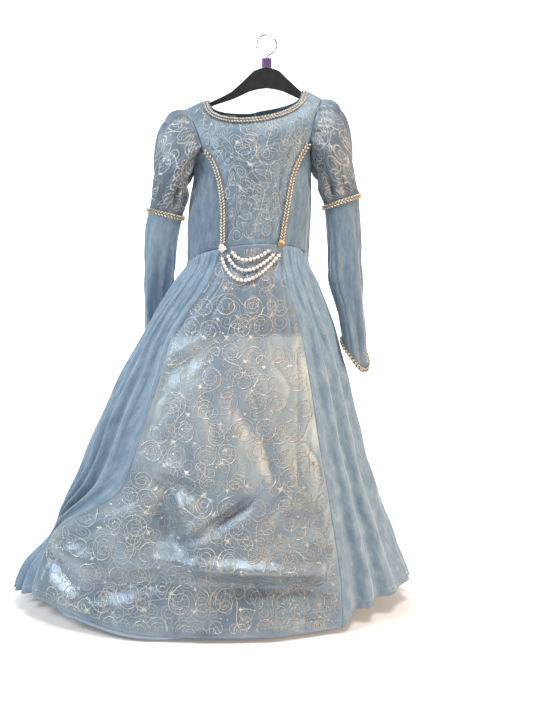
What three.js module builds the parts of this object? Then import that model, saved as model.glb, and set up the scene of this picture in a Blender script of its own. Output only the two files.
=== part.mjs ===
// A child's princess costume dress hung on its plastic hanger, in millimetres.
// +X is the viewer's right, +Y points away from the viewer and +Z is up.
// "left" and "right" in the names are the viewer's. The origin is where the rail
// touches the inside of the hook's crest, so everything hangs below it.
import * as THREE from 'three';

const { lerp, clamp, degToRad, radToDeg, smoothstep } = THREE.MathUtils;

// Cloth
const velourWall = 1.6;
const satinWall = 1.3;
const seamGap = 0.5; // between the cut edges of two neighbouring panels
const waistGap = 0.8; // between the bodice and the skirt
const layGap = 0.4; // between a panel and what is sewn on it

// The garment's main levels
const hemZ = -1120;
const waistSideZ = -422;
const waistFrontRise = 34; // the waist seam is higher at the centre front
const waistTilt = 8; // and a little higher on the right, as the dress hangs
const underarmZ = { left: -256, right: -250 };
const notchRise = 0.72; // how far up the bodice front its princess seam meets the armhole

// Trim and jewels
const braidWidth = 10;
const braidWall = 2;
const pearlRadius = 3.3;
const pearlPitch = 7.8;
const threadRadius = 0.9;
const broochRadius = 7;

// Level sections of the garment's outer form, to the outermost points of the folds.
const bodySections = [
  { z: -1120, left: -548, right: 320, front: -200, back: 184 },
  { z: -1060, left: -518, right: 300, front: -192, back: 175 },
  { z: -1006, left: -468, right: 277, front: -184, back: 166 },
  { z: -899, left: -417, right: 236, front: -166, back: 148 },
  { z: -794, left: -368, right: 203, front: -150, back: 130 },
  { z: -692, left: -322, right: 178, front: -133, back: 112 },
  { z: -592, left: -266, right: 149, front: -114, back: 94 },
  { z: -504, left: -213, right: 119, front: -96, back: 78 },
  { z: -456, left: -181, right: 100, front: -84, back: 68 },
  { z: -422, left: -157, right: 84, front: -71, back: 60 },
  { z: -368, left: -156, right: 86, front: -67, back: 58 },
  { z: -308, left: -151, right: 88, front: -66, back: 58 },
  { z: -256, left: -142, right: 87, front: -66, back: 58 },
  { z: -232, left: -143, right: 91, front: -65, back: 58 },
  { z: -214, left: -148, right: 99, front: -65, back: 58 },
  { z: -190, left: -163, right: 117, front: -64, back: 58 },
  { z: -160, left: -192, right: 146, front: -64, back: 58 },
  { z: -130, left: -222, right: 178, front: -64, back: 58 },
  { z: -90, left: -244, right: 204, front: -64, back: 58 },
];

// Side edges of the brocade bodice front: princess seam, then armhole, to the shoulder tip.
const bodiceEdges = [
  { rise: 0, left: -83, right: 27 },
  { rise: 0.27, left: -82, right: 39 },
  { rise: 0.43, left: -86, right: 47 },
  { rise: 0.54, left: -93, right: 56 },
  { rise: 0.62, left: -102, right: 67 },
  { rise: 0.72, left: -121, right: 82 },
  { rise: 0.8, left: -128, right: 86 },
  { rise: 0.9, left: -139, right: 94 },
  { rise: 1, left: -157, right: 106 },
];

// The shoulder line, carried straight across the neck opening.
const shoulderLine = [
  { x: -170, z: -139 },
  { x: -157, z: -133 },
  { x: -112, z: -115 },
  { x: 68, z: -97.5 },
  { x: 106, z: -114 },
  { x: 120, z: -121 },
];

const neck = { left: -110, right: 68, centre: -22, frontDrop: 52, backDrop: 31 };
const shoulderShare = 0.34; // of each half of the top edge, beside its half of the neckline

// Seams between the brocade skirt front and the velour side fronts.
const frontSeams = [
  { z: -1125, left: -474, right: 148 },
  { z: -1036, left: -461, right: 144 },
  { z: -986, left: -445, right: 138 },
  { z: -950, left: -418, right: 133 },
  { z: -914, left: -366, right: 127 },
  { z: -876, left: -307, right: 121 },
  { z: -852, left: -280, right: 117 },
  { z: -782, left: -251, right: 104 },
  { z: -724, left: -232, right: 95 },
  { z: -652, left: -207, right: 84 },
  { z: -567, left: -183, right: 68 },
  { z: -516, left: -152, right: 55 },
  { z: -455, left: -110, right: 39 },
  { z: -380, left: -82, right: 27 },
];

// How far the hem is lifted off its lowest level, by the angle round the section.
const hemLifts = [
  { angle: -180, lift: 26 },
  { angle: -135, lift: 28 },
  { angle: -100, lift: 24 },
  { angle: -82, lift: 18 },
  { angle: -66, lift: 27 },
  { angle: -52, lift: 36 },
  { angle: -38, lift: 25 },
  { angle: -22, lift: 7 },
  { angle: -8, lift: 1 },
  { angle: 37, lift: 0 },
  { angle: 41, lift: 17 },
  { angle: 60, lift: 34 },
  { angle: 78, lift: 42 },
  { angle: 92, lift: 30 },
  { angle: 130, lift: 28 },
  { angle: 180, lift: 26 },
];

// Soft troughs in the brocade skirt front, as strokes from one point of the panel to another.
// across runs 0 to 1 from the left seam to the right one, down runs 0 to 1 from waist to hem.
const satinTroughs = [
  { across: 0.06, down: 0.32, toAcross: 0.36, toDown: 0.25, width: 0.06, depth: 5 },
  { across: 0.4, down: 0.63, toAcross: 0.47, toDown: 0.72, width: 0.07, depth: 8 },
  { across: 0.47, down: 0.72, toAcross: 0.66, toDown: 0.67, width: 0.07, depth: 8 },
  { across: 0.3, down: 0.72, toAcross: 0.52, toDown: 0.84, width: 0.06, depth: 7 },
  { across: 0.28, down: 0.95, toAcross: 0.95, toDown: 0.9, width: 0.06, depth: 10 },
  { across: 0.6, down: 0.8, toAcross: 0.98, toDown: 0.84, width: 0.05, depth: 6 },
];

// Gathered velour: folds across the panel and their depth at its top and bottom.
const gathers = {
  skirt_side_left: { folds: 7, top: 2, bottom: 17, drift: 0.22 },
  skirt_side_right: { folds: 6, top: 2, bottom: 15, drift: -0.18 },
  skirt_back_left: { folds: 7, top: 2, bottom: 20, drift: 0.3 },
  skirt_back_right: { folds: 7, top: 2, bottom: 20, drift: -0.3 },
  bodice_side_left: { folds: 2, top: 1.5, bottom: 3, drift: 0.1 },
  bodice_side_right: { folds: 2, top: 1.5, bottom: 3, drift: -0.1 },
};

// Puff sleeves
const puff = { folds: 10, fullness: 1.08, seamFold: 0.7, deepFold: 2.2, reach: 0.12 };

// The slanted seam at the foot of each puff, where the lower sleeve starts.
const sleeveBands = {
  left: { z: -325, slope: 0.23 },
  right: { z: -301, slope: 0.35 },
};

// Lower sleeves: level sections from the pointed cuff up to the band.
const sleeveSections = {
  left: [
    { z: -642, x: -240, y: 114, halfWidth: 24, halfDepth: 19 },
    { z: -571, x: -235, y: 96, halfWidth: 29, halfDepth: 22 },
    { z: -500, x: -227, y: 60, halfWidth: 32, halfDepth: 24 },
    { z: -448, x: -219, y: 32, halfWidth: 34, halfDepth: 25 },
    { z: -400, x: -212, y: 13, halfWidth: 34, halfDepth: 26 },
    { z: -353, x: -204, y: 4, halfWidth: 36, halfDepth: 27 },
    { z: -315, x: -195, y: 0, halfWidth: 34, halfDepth: 27 },
  ],
  right: [
    { z: -642, x: 181, y: -16, halfWidth: 24, halfDepth: 19 },
    { z: -578, x: 177, y: -14, halfWidth: 26, halfDepth: 22 },
    { z: -514, x: 168, y: -11, halfWidth: 30, halfDepth: 24 },
    { z: -446, x: 157, y: -7, halfWidth: 38, halfDepth: 26 },
    { z: -400, x: 155, y: -4, halfWidth: 36, halfDepth: 27 },
    { z: -353, x: 151, y: -1, halfWidth: 36, halfDepth: 27 },
    { z: -300, x: 147, y: 0, halfWidth: 35, halfDepth: 27 },
  ],
};
const sleeveFold = { folds: 5, depth: 3, drift: 2.5 };
const cuff = { innerZ: -580, pointDrop: 61, pointTurn: 50, sharpness: 1.5 };

// Pearl swags: the ends of each at the waist, and how far it drops between them.
const swags = {
  upper: { left: { x: -66, z: -396 }, right: { x: 8, z: -395 }, drop: 20 },
  middle: { left: { x: -73, z: -402 }, right: { x: 16, z: -402 }, drop: 33 },
  lower: { left: { x: -84, z: -407 }, right: { x: 26, z: -402 }, drop: 48 },
};
const swagSkew = 0.72; // below 1 the lowest point lies left of the middle
const swagLift = 0.6; // of the pearls off the cloth
const brooches = {
  left: { x: -83, z: -394, lobes: 7, material: 'pearl' },
  right: { x: 27, z: -385, lobes: 5, material: 'gold' },
};

// Sewn inside the back neck
const neckLabel = { x: -74, top: -140, width: 30, height: 16, wall: 0.8 };
const backTab = { x: -22, top: -142, width: 12, height: 20, wall: 1 };

// Hanger
const hangerDepth = { whole: 8, bevel: 1 };
const hangerRidge = [[9, -58], [24, -63], [38, -76], [53, -89.5], [66, -100.5], [82, -109],
  [107, -120], [126, -128], [133, -133]];
const hangerUnderside = [[133, -138], [126, -140], [104, -126.5], [64, -114], [32, -100], [16, -96]];
const hangerCentre = { top: -57, low: -94 };
const sizeMarker = { width: 19, depth: 13, top: -41, foot: -56.6, corner: 4 };
const hook = { wire: 3.4, bend: 17, foot: -56.6, openEnd: 200 };

const cloth = { metalness: 0, side: THREE.FrontSide };
const materials = {
  velour: new THREE.MeshStandardMaterial({ ...cloth, color: 0x86aacb, roughness: 0.85 }),
  brocade: new THREE.MeshStandardMaterial({ ...cloth, color: 0x9ab4cc, roughness: 0.45 }),
  lining: new THREE.MeshStandardMaterial({ ...cloth, color: 0x9fc0e2, roughness: 0.6 }),
  label: new THREE.MeshStandardMaterial({ ...cloth, color: 0xf0d6d6, roughness: 0.7 }),
  tape: new THREE.MeshStandardMaterial({ ...cloth, color: 0xe4e6e2, roughness: 0.9 }),
  braid: new THREE.MeshStandardMaterial({ color: 0xc9b78f, roughness: 0.4, metalness: 0.6 }),
  pearl: new THREE.MeshStandardMaterial({ color: 0xf1ece2, roughness: 0.25, metalness: 0 }),
  gold: new THREE.MeshStandardMaterial({ color: 0xc79a4e, roughness: 0.35, metalness: 0.9 }),
  plastic: new THREE.MeshStandardMaterial({ color: 0x17181a, roughness: 0.45, metalness: 0 }),
  marker: new THREE.MeshStandardMaterial({ color: 0x6b4a86, roughness: 0.35, metalness: 0 }),
  steel: new THREE.MeshStandardMaterial({ color: 0xc8ccd0, roughness: 0.2, metalness: 1 }),
};

const sides = ['left', 'right'];
const signOf = { left: -1, right: 1 };

const dress = new THREE.Group();
function add(name, geometry, material) {
  const mesh = new THREE.Mesh(geometry, materials[material]);
  mesh.name = name;
  dress.add(mesh);
}

// A smooth curve through one column of a table, as a function of the key column.
// Its slopes are those of a monotone cubic, so it never overshoots a row.
function curveOf(table, key, column) {
  const rows = [...table].sort((a, b) => a[key] - b[key]);
  const at = rows.map((row) => row[key]);
  const value = rows.map((row) => row[column]);
  const last = rows.length - 1;
  const rise = at.slice(1).map((x, i) => (value[i + 1] - value[i]) / (x - at[i]));
  const slope = at.map((_, i) => {
    const before = rise[Math.max(i - 1, 0)];
    const after = rise[Math.min(i, last - 1)];
    return before * after <= 0 ? 0 : (2 * before * after) / (before + after);
  });
  return (wanted) => {
    const x = clamp(wanted, at[0], at[last]);
    const i = at.findIndex((_, k) => k === last - 1 || x <= at[k + 1]);
    const step = at[i + 1] - at[i];
    const t = (x - at[i]) / step;
    return lerp(value[i], value[i + 1], t * t * (3 - 2 * t))
      + t * (1 - t) * step * ((1 - t) * slope[i] - t * slope[i + 1]);
  };
}

const curvesOf = (table, key, columns) =>
  Object.fromEntries(columns.map((column) => [column, curveOf(table, key, column)]));

const section = curvesOf(bodySections, 'z', ['left', 'right', 'front', 'back']);
const bodiceEdgeX = curvesOf(bodiceEdges, 'rise', sides);
const frontSeamX = curvesOf(frontSeams, 'z', sides);
const shoulderZ = curveOf(shoulderLine, 'x', 'z');
const hemLift = curveOf(hemLifts, 'angle', 'lift');

// Evenly spaced shares from one value to another.
const shares = (count, from = 0, to = 1) =>
  Array.from({ length: count + 1 }, (_, i) => lerp(from, to, i / count));

// The outward unit normal of a face point(u, v). turn is +1 where u, v and outward are
// right-handed, else -1.
function normalOf(point, turn, u, v) {
  const step = 1e-4;
  const du = point(u + step, v).sub(point(u - step, v));
  const dv = point(u, v + step).sub(point(u, v - step));
  return du.cross(dv).normalize().multiplyScalar(turn);
}

// The same face moved outwards by a distance.
const movedOut = (point, turn, distance) => (u, v) =>
  point(u, v).addScaledVector(normalOf(point, turn, u, v), distance);

function geometryOf(points, triangles) {
  const positions = points.flatMap((point) => point.toArray());
  return new THREE.BufferGeometry()
    .setAttribute('position', new THREE.Float32BufferAttribute(positions, 3))
    .setIndex(triangles);
}

// A closed cloth wall whose outer face is point(u, v) and whose inner face lies inside it by
// the wall's thickness. A tube closes on itself in u.
function wall({ point, turn, across, along, thickness, tube = false }) {
  const spans = across.length - 1;
  const rows = along.length - 1;
  const columns = tube ? spans : spans + 1;
  const inside = movedOut(point, turn, -thickness);
  const points = [point, inside].flatMap((face) =>
    along.flatMap((v) => across.slice(0, columns).map((u) => face(u, v))));
  const outer = (i, j) => j * columns + (i % columns);
  const inner = (i, j) => columns * along.length + outer(i, j);
  const triangles = [];
  const quad = (a, b, c, d) => {
    triangles.push(...(turn > 0 ? [a, b, c, a, c, d] : [a, c, b, a, d, c]));
  };
  for (let i = 0; i < spans; i += 1) {
    for (let j = 0; j < rows; j += 1) {
      quad(outer(i, j), outer(i + 1, j), outer(i + 1, j + 1), outer(i, j + 1));
      quad(inner(i, j), inner(i, j + 1), inner(i + 1, j + 1), inner(i + 1, j));
    }
    quad(outer(i + 1, 0), outer(i, 0), inner(i, 0), inner(i + 1, 0));
    quad(outer(i, rows), outer(i + 1, rows), inner(i + 1, rows), inner(i, rows));
  }
  for (let j = 0; !tube && j < rows; j += 1) {
    quad(outer(0, j), outer(0, j + 1), inner(0, j + 1), inner(0, j));
    quad(outer(spans, j + 1), outer(spans, j), inner(spans, j), inner(spans, j + 1));
  }
  return geometryOf(points, triangles);
}

// A round body along a curve, with a radius for each ring and a flat end at each side.
function roundAlong(curve, radii, corners) {
  const rings = radii.length - 1;
  const frames = curve.computeFrenetFrames(rings);
  const points = radii.flatMap((radius, ring) => Array.from({ length: corners }, (_, k) => {
    const angle = (2 * Math.PI * k) / corners;
    return curve.getPointAt(ring / rings)
      .addScaledVector(frames.normals[ring], radius * Math.cos(angle))
      .addScaledVector(frames.binormals[ring], radius * Math.sin(angle));
  }));
  const index = (ring, k) => ring * corners + (k % corners);
  const triangles = [];
  for (let k = 0; k < corners; k += 1) {
    for (let ring = 0; ring < rings; ring += 1) {
      const [a, b] = [index(ring, k), index(ring, k + 1)];
      const [c, d] = [index(ring + 1, k + 1), index(ring + 1, k)];
      triangles.push(a, b, c, a, c, d);
    }
  }
  for (let k = 1; k < corners - 1; k += 1) {
    triangles.push(index(0, 0), index(0, k + 1), index(0, k));
    triangles.push(index(rings, 0), index(rings, k), index(rings, k + 1));
  }
  return geometryOf(points, triangles);
}

// Body form
const centreX = (z) => (section.left(z) + section.right(z)) / 2;
const halfWidth = (z) => (section.right(z) - section.left(z)) / 2;

// 0 at the shoulder line, where front and back meet over the hanger, and 1 well below it.
function openness(x, z) {
  const capHeight = 6;
  const capShare = 0.14;
  const fullBelow = 95;
  const below = Math.max(0, shoulderZ(x) - z);
  const cap = Math.sqrt(1 - (1 - Math.min(below / capHeight, 1)) ** 2);
  const fall = Math.sin((Math.PI / 2) * Math.min(below / fullBelow, 1));
  return capShare * cap + (1 - capShare) * fall;
}

// A point of the garment's outer form: angle 0 is the centre front, 90 degrees the right side
// and 180 degrees the centre back. inset moves it in, level, and apart moves it away from the
// seam line over the shoulders and down the sides.
function bodyPoint(angle, z, inset = 0, apart = 0) {
  const width = halfWidth(z);
  const [sin, cos] = [Math.sin(angle), Math.cos(angle)];
  const depth = cos > 0 ? -section.front(z) : section.back(z);
  const x = centreX(z) + width * sin;
  const outward = new THREE.Vector2(depth * sin, -width * cos).normalize();
  return new THREE.Vector3(
    x - inset * outward.x,
    -depth * cos * openness(x, z) - inset * outward.y + apart,
    z,
  );
}

// The angle at which the section at this height has this x, on the front.
const angleAt = (x, z) => Math.asin(clamp((x - centreX(z)) / halfWidth(z), -1, 1));

// The angle on the back that has the same x.
const behind = (which, angle) => signOf[which] * Math.PI - angle;

function waistZ(angle) {
  const forward = Math.max(0, Math.cos(angle));
  return waistSideZ + waistFrontRise * forward + waistTilt * Math.sin(angle);
}

// Depth of a gathered panel's folds below its outline. They die out at the seams, are uneven
// in depth and spacing, and drift sideways on their way down.
function foldDepth({ folds, top, bottom, drift }, across, down) {
  const seamShare = 0.07;
  const uneven = across + 0.03 * Math.sin(9 * across + 4 * drift)
    + 0.4 * drift * across * (1 - across) * Math.sin(2.2 * down);
  const wave = 0.5 - 0.5 * Math.cos(2 * Math.PI * folds * uneven);
  const strength = 0.74 + 0.26 * Math.sin(11 * across + 3 * down + 20 * drift);
  const fade = smoothstep(across, 0, seamShare) * smoothstep(1 - across, 0, seamShare);
  return lerp(top, bottom, clamp(down, 0, 1) ** 0.8) * wave * strength * fade;
}

// Depth of the satin front's troughs, each a soft stroke that thins out at its ends.
function troughDepth(across, down) {
  const fade = smoothstep(across, 0, 0.08) * smoothstep(1 - across, 0, 0.08);
  return satinTroughs.reduce((sum, stroke) => {
    const [runX, runY] = [stroke.toAcross - stroke.across, stroke.toDown - stroke.down];
    const [x, y] = [across - stroke.across, down - stroke.down];
    const along = clamp((x * runX + y * runY) / (runX ** 2 + runY ** 2), 0, 1);
    const off = Math.hypot(x - along * runX, y - along * runY) / stroke.width;
    const taper = 0.35 + 0.65 * Math.sin(Math.PI * along);
    return sum + stroke.depth * taper * fade * Math.exp(-(off ** 2));
  }, 0);
}

// Skirt. Each panel lies between two lines, given as angles that may change with height.
const sideSeamAngle = degToRad(112);
const skirtLines = {
  backLeft: () => -Math.PI,
  sideLeft: () => -sideSeamAngle,
  frontLeft: (z) => angleAt(frontSeamX.left(z), z),
  frontRight: (z) => angleAt(frontSeamX.right(z), z),
  sideRight: () => sideSeamAngle,
  backRight: () => Math.PI,
};
const skirtPanels = {
  skirt_front: { from: 'frontLeft', to: 'frontRight', columns: 24, material: 'brocade' },
  skirt_side_left: { from: 'sideLeft', to: 'frontLeft', columns: 33, material: 'velour' },
  skirt_side_right: { from: 'frontRight', to: 'sideRight', columns: 30, material: 'velour' },
  skirt_back_left: { from: 'backLeft', to: 'sideLeft', columns: 32, material: 'velour' },
  skirt_back_right: { from: 'sideRight', to: 'backRight', columns: 32, material: 'velour' },
};
const skirtRows = [0, 0.03, 0.09, 0.2, 0.34, 0.48, 0.62, 0.75, 0.87, 0.95, 1];

const skirtPoint = (name) => (across, down) => {
  const { from, to } = skirtPanels[name];
  const [first, second] = [skirtLines[from], skirtLines[to]];
  const between = (z, gap) => lerp(first(z) + gap, second(z) - gap, across);
  const roughly = between(lerp(waistSideZ, hemZ, down), 0);
  const foot = hemZ + hemLift(radToDeg(roughly));
  const z = lerp(waistZ(roughly) - waistGap / 2, foot, down);
  const angle = between(z, -seamGap / 2 / section.front(z));
  const inset = gathers[name]
    ? foldDepth(gathers[name], across, down)
    : troughDepth(across, down);
  return bodyPoint(angle, z, inset);
};

for (const [name, { columns, material }] of Object.entries(skirtPanels)) {
  add(name, wall({
    point: skirtPoint(name),
    turn: -1,
    across: shares(columns),
    along: skirtRows,
    thickness: material === 'velour' ? velourWall : satinWall,
  }), material);
}

// The lining shows only where the satin hem is lifted, so only that strip of it is made.
add('skirt_lining', wall({
  point: movedOut(skirtPoint('skirt_front'), -1, -satinWall - layGap),
  turn: -1,
  across: shares(skirtPanels.skirt_front.columns).slice(2, 16),
  along: [0.95, 1, 1.011],
  thickness: 1,
}), 'lining');

// Bodice. Its panels' edges are given as an angle round the body form and a height.
const edgePoint = (x, z) => ({ angle: angleAt(x, z), z });

// A panel between four edges: the sum of the two straight blends less the corners' blend.
const patch = ({ bottom, top, start, end }) => (across, rise) => {
  const blend = (key) => {
    const level = lerp(bottom(across)[key], top(across)[key], rise);
    const upright = lerp(start(rise)[key], end(rise)[key], across);
    const low = lerp(bottom(0)[key], bottom(1)[key], across);
    const high = lerp(top(0)[key], top(1)[key], across);
    return level + upright - lerp(low, high, rise);
  };
  return { angle: blend('angle'), z: blend('z') };
};

// The waist edge of a panel between two angles.
const waistEdge = (from, to) => (across) => {
  const angle = lerp(from, to, across);
  return { angle, z: waistZ(angle) + waistGap / 2 };
};

// Side edge of the bodice front, moved sideways from the seam by a distance.
function bodiceEdge(which, rise, shift) {
  const footZ = waistZ(angleAt(bodiceEdgeX[which](0), waistSideZ)) + waistGap / 2;
  const z = lerp(footZ, shoulderZ(bodiceEdgeX[which](1)), rise);
  return edgePoint(bodiceEdgeX[which](rise) + signOf[which] * shift, z);
}

// The lower armhole, from the princess seam (0) down to the side seam (1).
function lowerArmhole(which, share) {
  const notch = bodiceEdge(which, notchRise, seamGap / 2);
  const fall = (share + Math.sin((Math.PI / 2) * share)) / 2;
  return {
    angle: lerp(notch.angle, (signOf[which] * Math.PI) / 2, share),
    z: lerp(notch.z, underarmZ[which], fall),
  };
}

// The whole front armhole, from the shoulder tip (0) to the underarm (1).
const armhole = (which, share) => (share < 0.5
  ? bodiceEdge(which, lerp(1, notchRise, 2 * share), 0)
  : lowerArmhole(which, 2 * share - 1));

// Half of the top edge, from the shoulder tip (0) to the middle of the neckline (1).
function topEdge(which, share, drop) {
  const tip = bodiceEdgeX[which](1);
  if (share <= shoulderShare) {
    const x = lerp(tip, neck[which], share / shoulderShare);
    return edgePoint(x, shoulderZ(x));
  }
  const turn = (Math.PI / 2) * Math.min(1, (share - shoulderShare) / (1 - shoulderShare));
  const x = lerp(neck[which], neck.centre, 1 - Math.cos(turn));
  return edgePoint(x, shoulderZ(x) - drop * Math.sin(turn) ** 0.8);
}

function facing(edges, apart) {
  const place = patch(edges);
  return (across, rise) => {
    const { angle, z } = place(across, rise);
    return bodyPoint(angle, z, 0, apart);
  };
}

const bodiceRows = [0, 0.13, 0.26, 0.38, 0.48, 0.57, 0.65, notchRise,
  0.78, 0.84, 0.9, 0.95, 0.983, 1];
const [frontStart, frontEnd] = sides.map((which) => (rise) => bodiceEdge(which, rise, -seamGap / 2));
add('bodice_front', wall({
  point: facing({
    bottom: waistEdge(frontStart(0).angle, frontEnd(0).angle),
    top: (across) => (across < 0.5
      ? topEdge('left', 2 * across, neck.frontDrop)
      : topEdge('right', 2 - 2 * across, neck.frontDrop)),
    start: frontStart,
    end: frontEnd,
  }, -seamGap / 2),
  turn: 1,
  across: [...shares(3, 0, shoulderShare / 2),
    ...shares(12, shoulderShare / 2, 1 - shoulderShare / 2).slice(1),
    ...shares(3, 1 - shoulderShare / 2, 1).slice(1)],
  along: bodiceRows,
  thickness: satinWall,
}), 'brocade');

for (const which of sides) {
  const sign = signOf[which];
  const sideAngle = (sign * Math.PI) / 2;
  const seamStart = (rise) => bodiceEdge(which, rise * notchRise, seamGap / 2);
  const sideSeam = (rise) => ({
    angle: sideAngle,
    z: lerp(waistZ(sideAngle) + waistGap / 2, underarmZ[which], rise),
  });
  const form = patch({
    bottom: waistEdge(seamStart(0).angle, sideAngle),
    top: (across) => lowerArmhole(which, across),
    start: seamStart,
    end: sideSeam,
  });
  add(`bodice_side_${which}`, wall({
    point: (across, rise) => {
      const { angle, z } = form(across, rise);
      const inset = foldDepth(gathers[`bodice_side_${which}`], across, 1 - rise);
      return bodyPoint(angle, z, inset, -seamGap / 2);
    },
    turn: sign,
    across: shares(9),
    along: bodiceRows.filter((rise) => rise <= notchRise).map((rise) => rise / notchRise),
    thickness: velourWall,
  }), 'velour');

  const centreAngle = sign * (Math.PI - seamGap / 2 / halfWidth(waistSideZ));
  add(`bodice_back_${which}`, wall({
    point: facing({
      bottom: waistEdge(sideAngle, centreAngle),
      top: (across) => {
        const { angle, z } = topEdge(which, across, neck.backDrop);
        return { angle: lerp(behind(which, angle), centreAngle, across ** 8), z };
      },
      start: (rise) => {
        if (rise <= notchRise) return sideSeam(rise / notchRise);
        const { angle, z } = armhole(which, (1 - rise) / (1 - notchRise));
        return { angle: behind(which, angle), z };
      },
      end: (rise) => ({
        angle: centreAngle,
        z: lerp(waistZ(centreAngle) + waistGap / 2, topEdge(which, 1, neck.backDrop).z, rise),
      }),
    }, seamGap / 2),
    turn: sign,
    across: [...shares(4, 0, shoulderShare), ...shares(7, shoulderShare, 1).slice(1)],
    along: bodiceRows,
    thickness: velourWall,
  }), 'velour');
}

// Sleeves. turn runs round a sleeve: 0 is its outer side and a quarter turn its front.
const sleeveCurves = Object.fromEntries(sides.map((which) =>
  [which, curvesOf(sleeveSections[which], 'z', ['x', 'y', 'halfWidth', 'halfDepth'])]));

function sleeveForm(which, angle, z, inset = 0) {
  const { x, y, halfWidth: wide, halfDepth: deep } = sleeveCurves[which];
  return new THREE.Vector3(
    x(z) + signOf[which] * (wide(z) - inset) * Math.cos(angle),
    y(z) - (deep(z) - inset) * Math.sin(angle),
    z,
  );
}

const bandZ = (which, angle) => {
  const { z, slope } = sleeveBands[which];
  return z + slope * sleeveCurves[which].halfWidth(z) * Math.cos(angle);
};

function cuffZ(angle) {
  const nearPoint = (1 + Math.cos(angle - degToRad(cuff.pointTurn))) / 2;
  return cuff.innerZ - cuff.pointDrop * nearPoint ** cuff.sharpness;
}

// A point of the armhole seam, from the shoulder round the front, underarm and back.
function armholeSeam(which, around) {
  const share = ((around % 1) + 1) % 1;
  const onFront = share < 0.5;
  const { angle, z } = armhole(which, onFront ? 2 * share : 2 - 2 * share);
  return onFront ? bodyPoint(angle, z) : bodyPoint(behind(which, angle), z);
}

// Each line of a puff is a cubic from the armhole, which it leaves outwards, to the band,
// which it meets from above and a little from outside.
const puffForm = (which) => (around, down) => {
  const sign = signOf[which];
  const angle = 2 * Math.PI * around;
  const [sin, cos] = [Math.sin(angle), Math.cos(angle)];
  const middleZ = (armholeSeam(which, 0).z + underarmZ[which]) / 2;
  const start = armholeSeam(which, around);
  const fromMiddle = new THREE.Vector3(0, start.y, start.z - middleZ).normalize();
  start.x += sign * seamGap;
  const end = sleeveForm(which, angle, bandZ(which, angle) + seamGap / 2);
  const length = puff.fullness * start.distanceTo(end);
  const leave = new THREE.Vector3(sign * (0.68 + 0.32 * cos), 0, 0)
    .addScaledVector(fromMiddle, 0.575 - 0.425 * cos + 0.2 * sin ** 2)
    .setLength(length);
  const inwards = 0.36 - 0.24 * cos + 0.24 * sin ** 2;
  const arrive = new THREE.Vector3(sign * (sleeveBands[which].slope - inwards * cos), inwards * sin, -1)
    .setLength(length);
  const t = down;
  return start.multiplyScalar((1 + 2 * t) * (1 - t) ** 2)
    .addScaledVector(end, t * t * (3 - 2 * t))
    .addScaledVector(leave, t * (1 - t) ** 2)
    .addScaledVector(arrive, -t * t * (1 - t));
};

const puffPoint = (which) => (around, down) => {
  const form = puffForm(which);
  const fromSeam = clamp(Math.min(down, 1 - down), 0, 1);
  const gather = (fromSeam / puff.reach) * Math.exp(1 - fromSeam / puff.reach);
  const turn = 2 * Math.PI * (puff.folds * around + 0.25 * Math.sin(2 * Math.PI * around) + 0.2 * down);
  const depth = (puff.seamFold + puff.deepFold * gather) * (0.5 - 0.5 * Math.cos(turn));
  return form(around, down).addScaledVector(normalOf(form, signOf[which], around, down), -depth);
};

const sleevePoint = (which) => (around, down) => {
  const angle = 2 * Math.PI * around;
  const z = lerp(bandZ(which, angle) - seamGap / 2, cuffZ(angle), down);
  const wave = 0.5 - 0.5 * Math.cos(sleeveFold.folds * angle + sleeveFold.drift * down);
  const share = clamp(4 * down * (1 - down), 0, 1);
  return sleeveForm(which, angle, z, sleeveFold.depth * wave * share);
};

const aroundSleeve = shares(24);
for (const which of sides) {
  const turn = signOf[which];
  add(`puff_${which}`, wall({
    point: puffPoint(which),
    turn,
    across: shares(40),
    along: [0, 0.07, 0.18, 0.36, 0.58, 0.78, 0.92, 1],
    thickness: satinWall,
    tube: true,
  }), 'brocade');
  add(`sleeve_${which}`, wall({
    point: sleevePoint(which),
    turn,
    across: aroundSleeve,
    along: [0, 0.1, 0.24, 0.38, 0.52, 0.66, 0.8, 0.92, 1],
    thickness: velourWall,
    tube: true,
  }), 'velour');
  add(`band_braid_${which}`, wall({
    point: (around, down) => {
      const angle = 2 * Math.PI * around;
      const z = bandZ(which, angle) - braidWidth * down;
      return sleeveForm(which, angle, z, -2 * layGap - braidWall);
    },
    turn,
    across: aroundSleeve,
    along: [0, 1],
    thickness: braidWall,
    tube: true,
  }), 'braid');
  const cuffFace = (around, down) => {
    const length = sleeveBands[which].z - cuffZ(2 * Math.PI * around);
    return sleevePoint(which)(around, 1 - (braidWidth * (1 - down)) / length);
  };
  add(`cuff_braid_${which}`, wall({
    point: movedOut(cuffFace, turn, layGap + braidWall),
    turn,
    across: aroundSleeve,
    along: [0, 1],
    thickness: braidWall,
    tube: true,
  }), 'braid');
}

// A braid lying on the bodice front: line(share) runs along it as x and z, and the strip
// reaches from near to far, measured square to the line.
function frontBraid({ line, near, far, spans }) {
  const face = (share, across) => {
    const step = 1e-3;
    const here = line(share);
    const ahead = line(share + step);
    const before = line(share - step);
    const square = new THREE.Vector2(ahead.z - before.z, before.x - ahead.x).normalize();
    const off = lerp(near, far, across);
    const x = here.x + off * square.x;
    const z = Math.min(here.z + off * square.y, shoulderZ(x) - 4);
    return bodyPoint(angleAt(x, z), z, 0, -seamGap / 2);
  };
  return wall({
    point: movedOut(face, -1, 2 * layGap + braidWall),
    turn: -1,
    across: shares(spans, 0.02, 0.98),
    along: [0, 0.5, 1],
    thickness: braidWall,
  });
}

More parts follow.
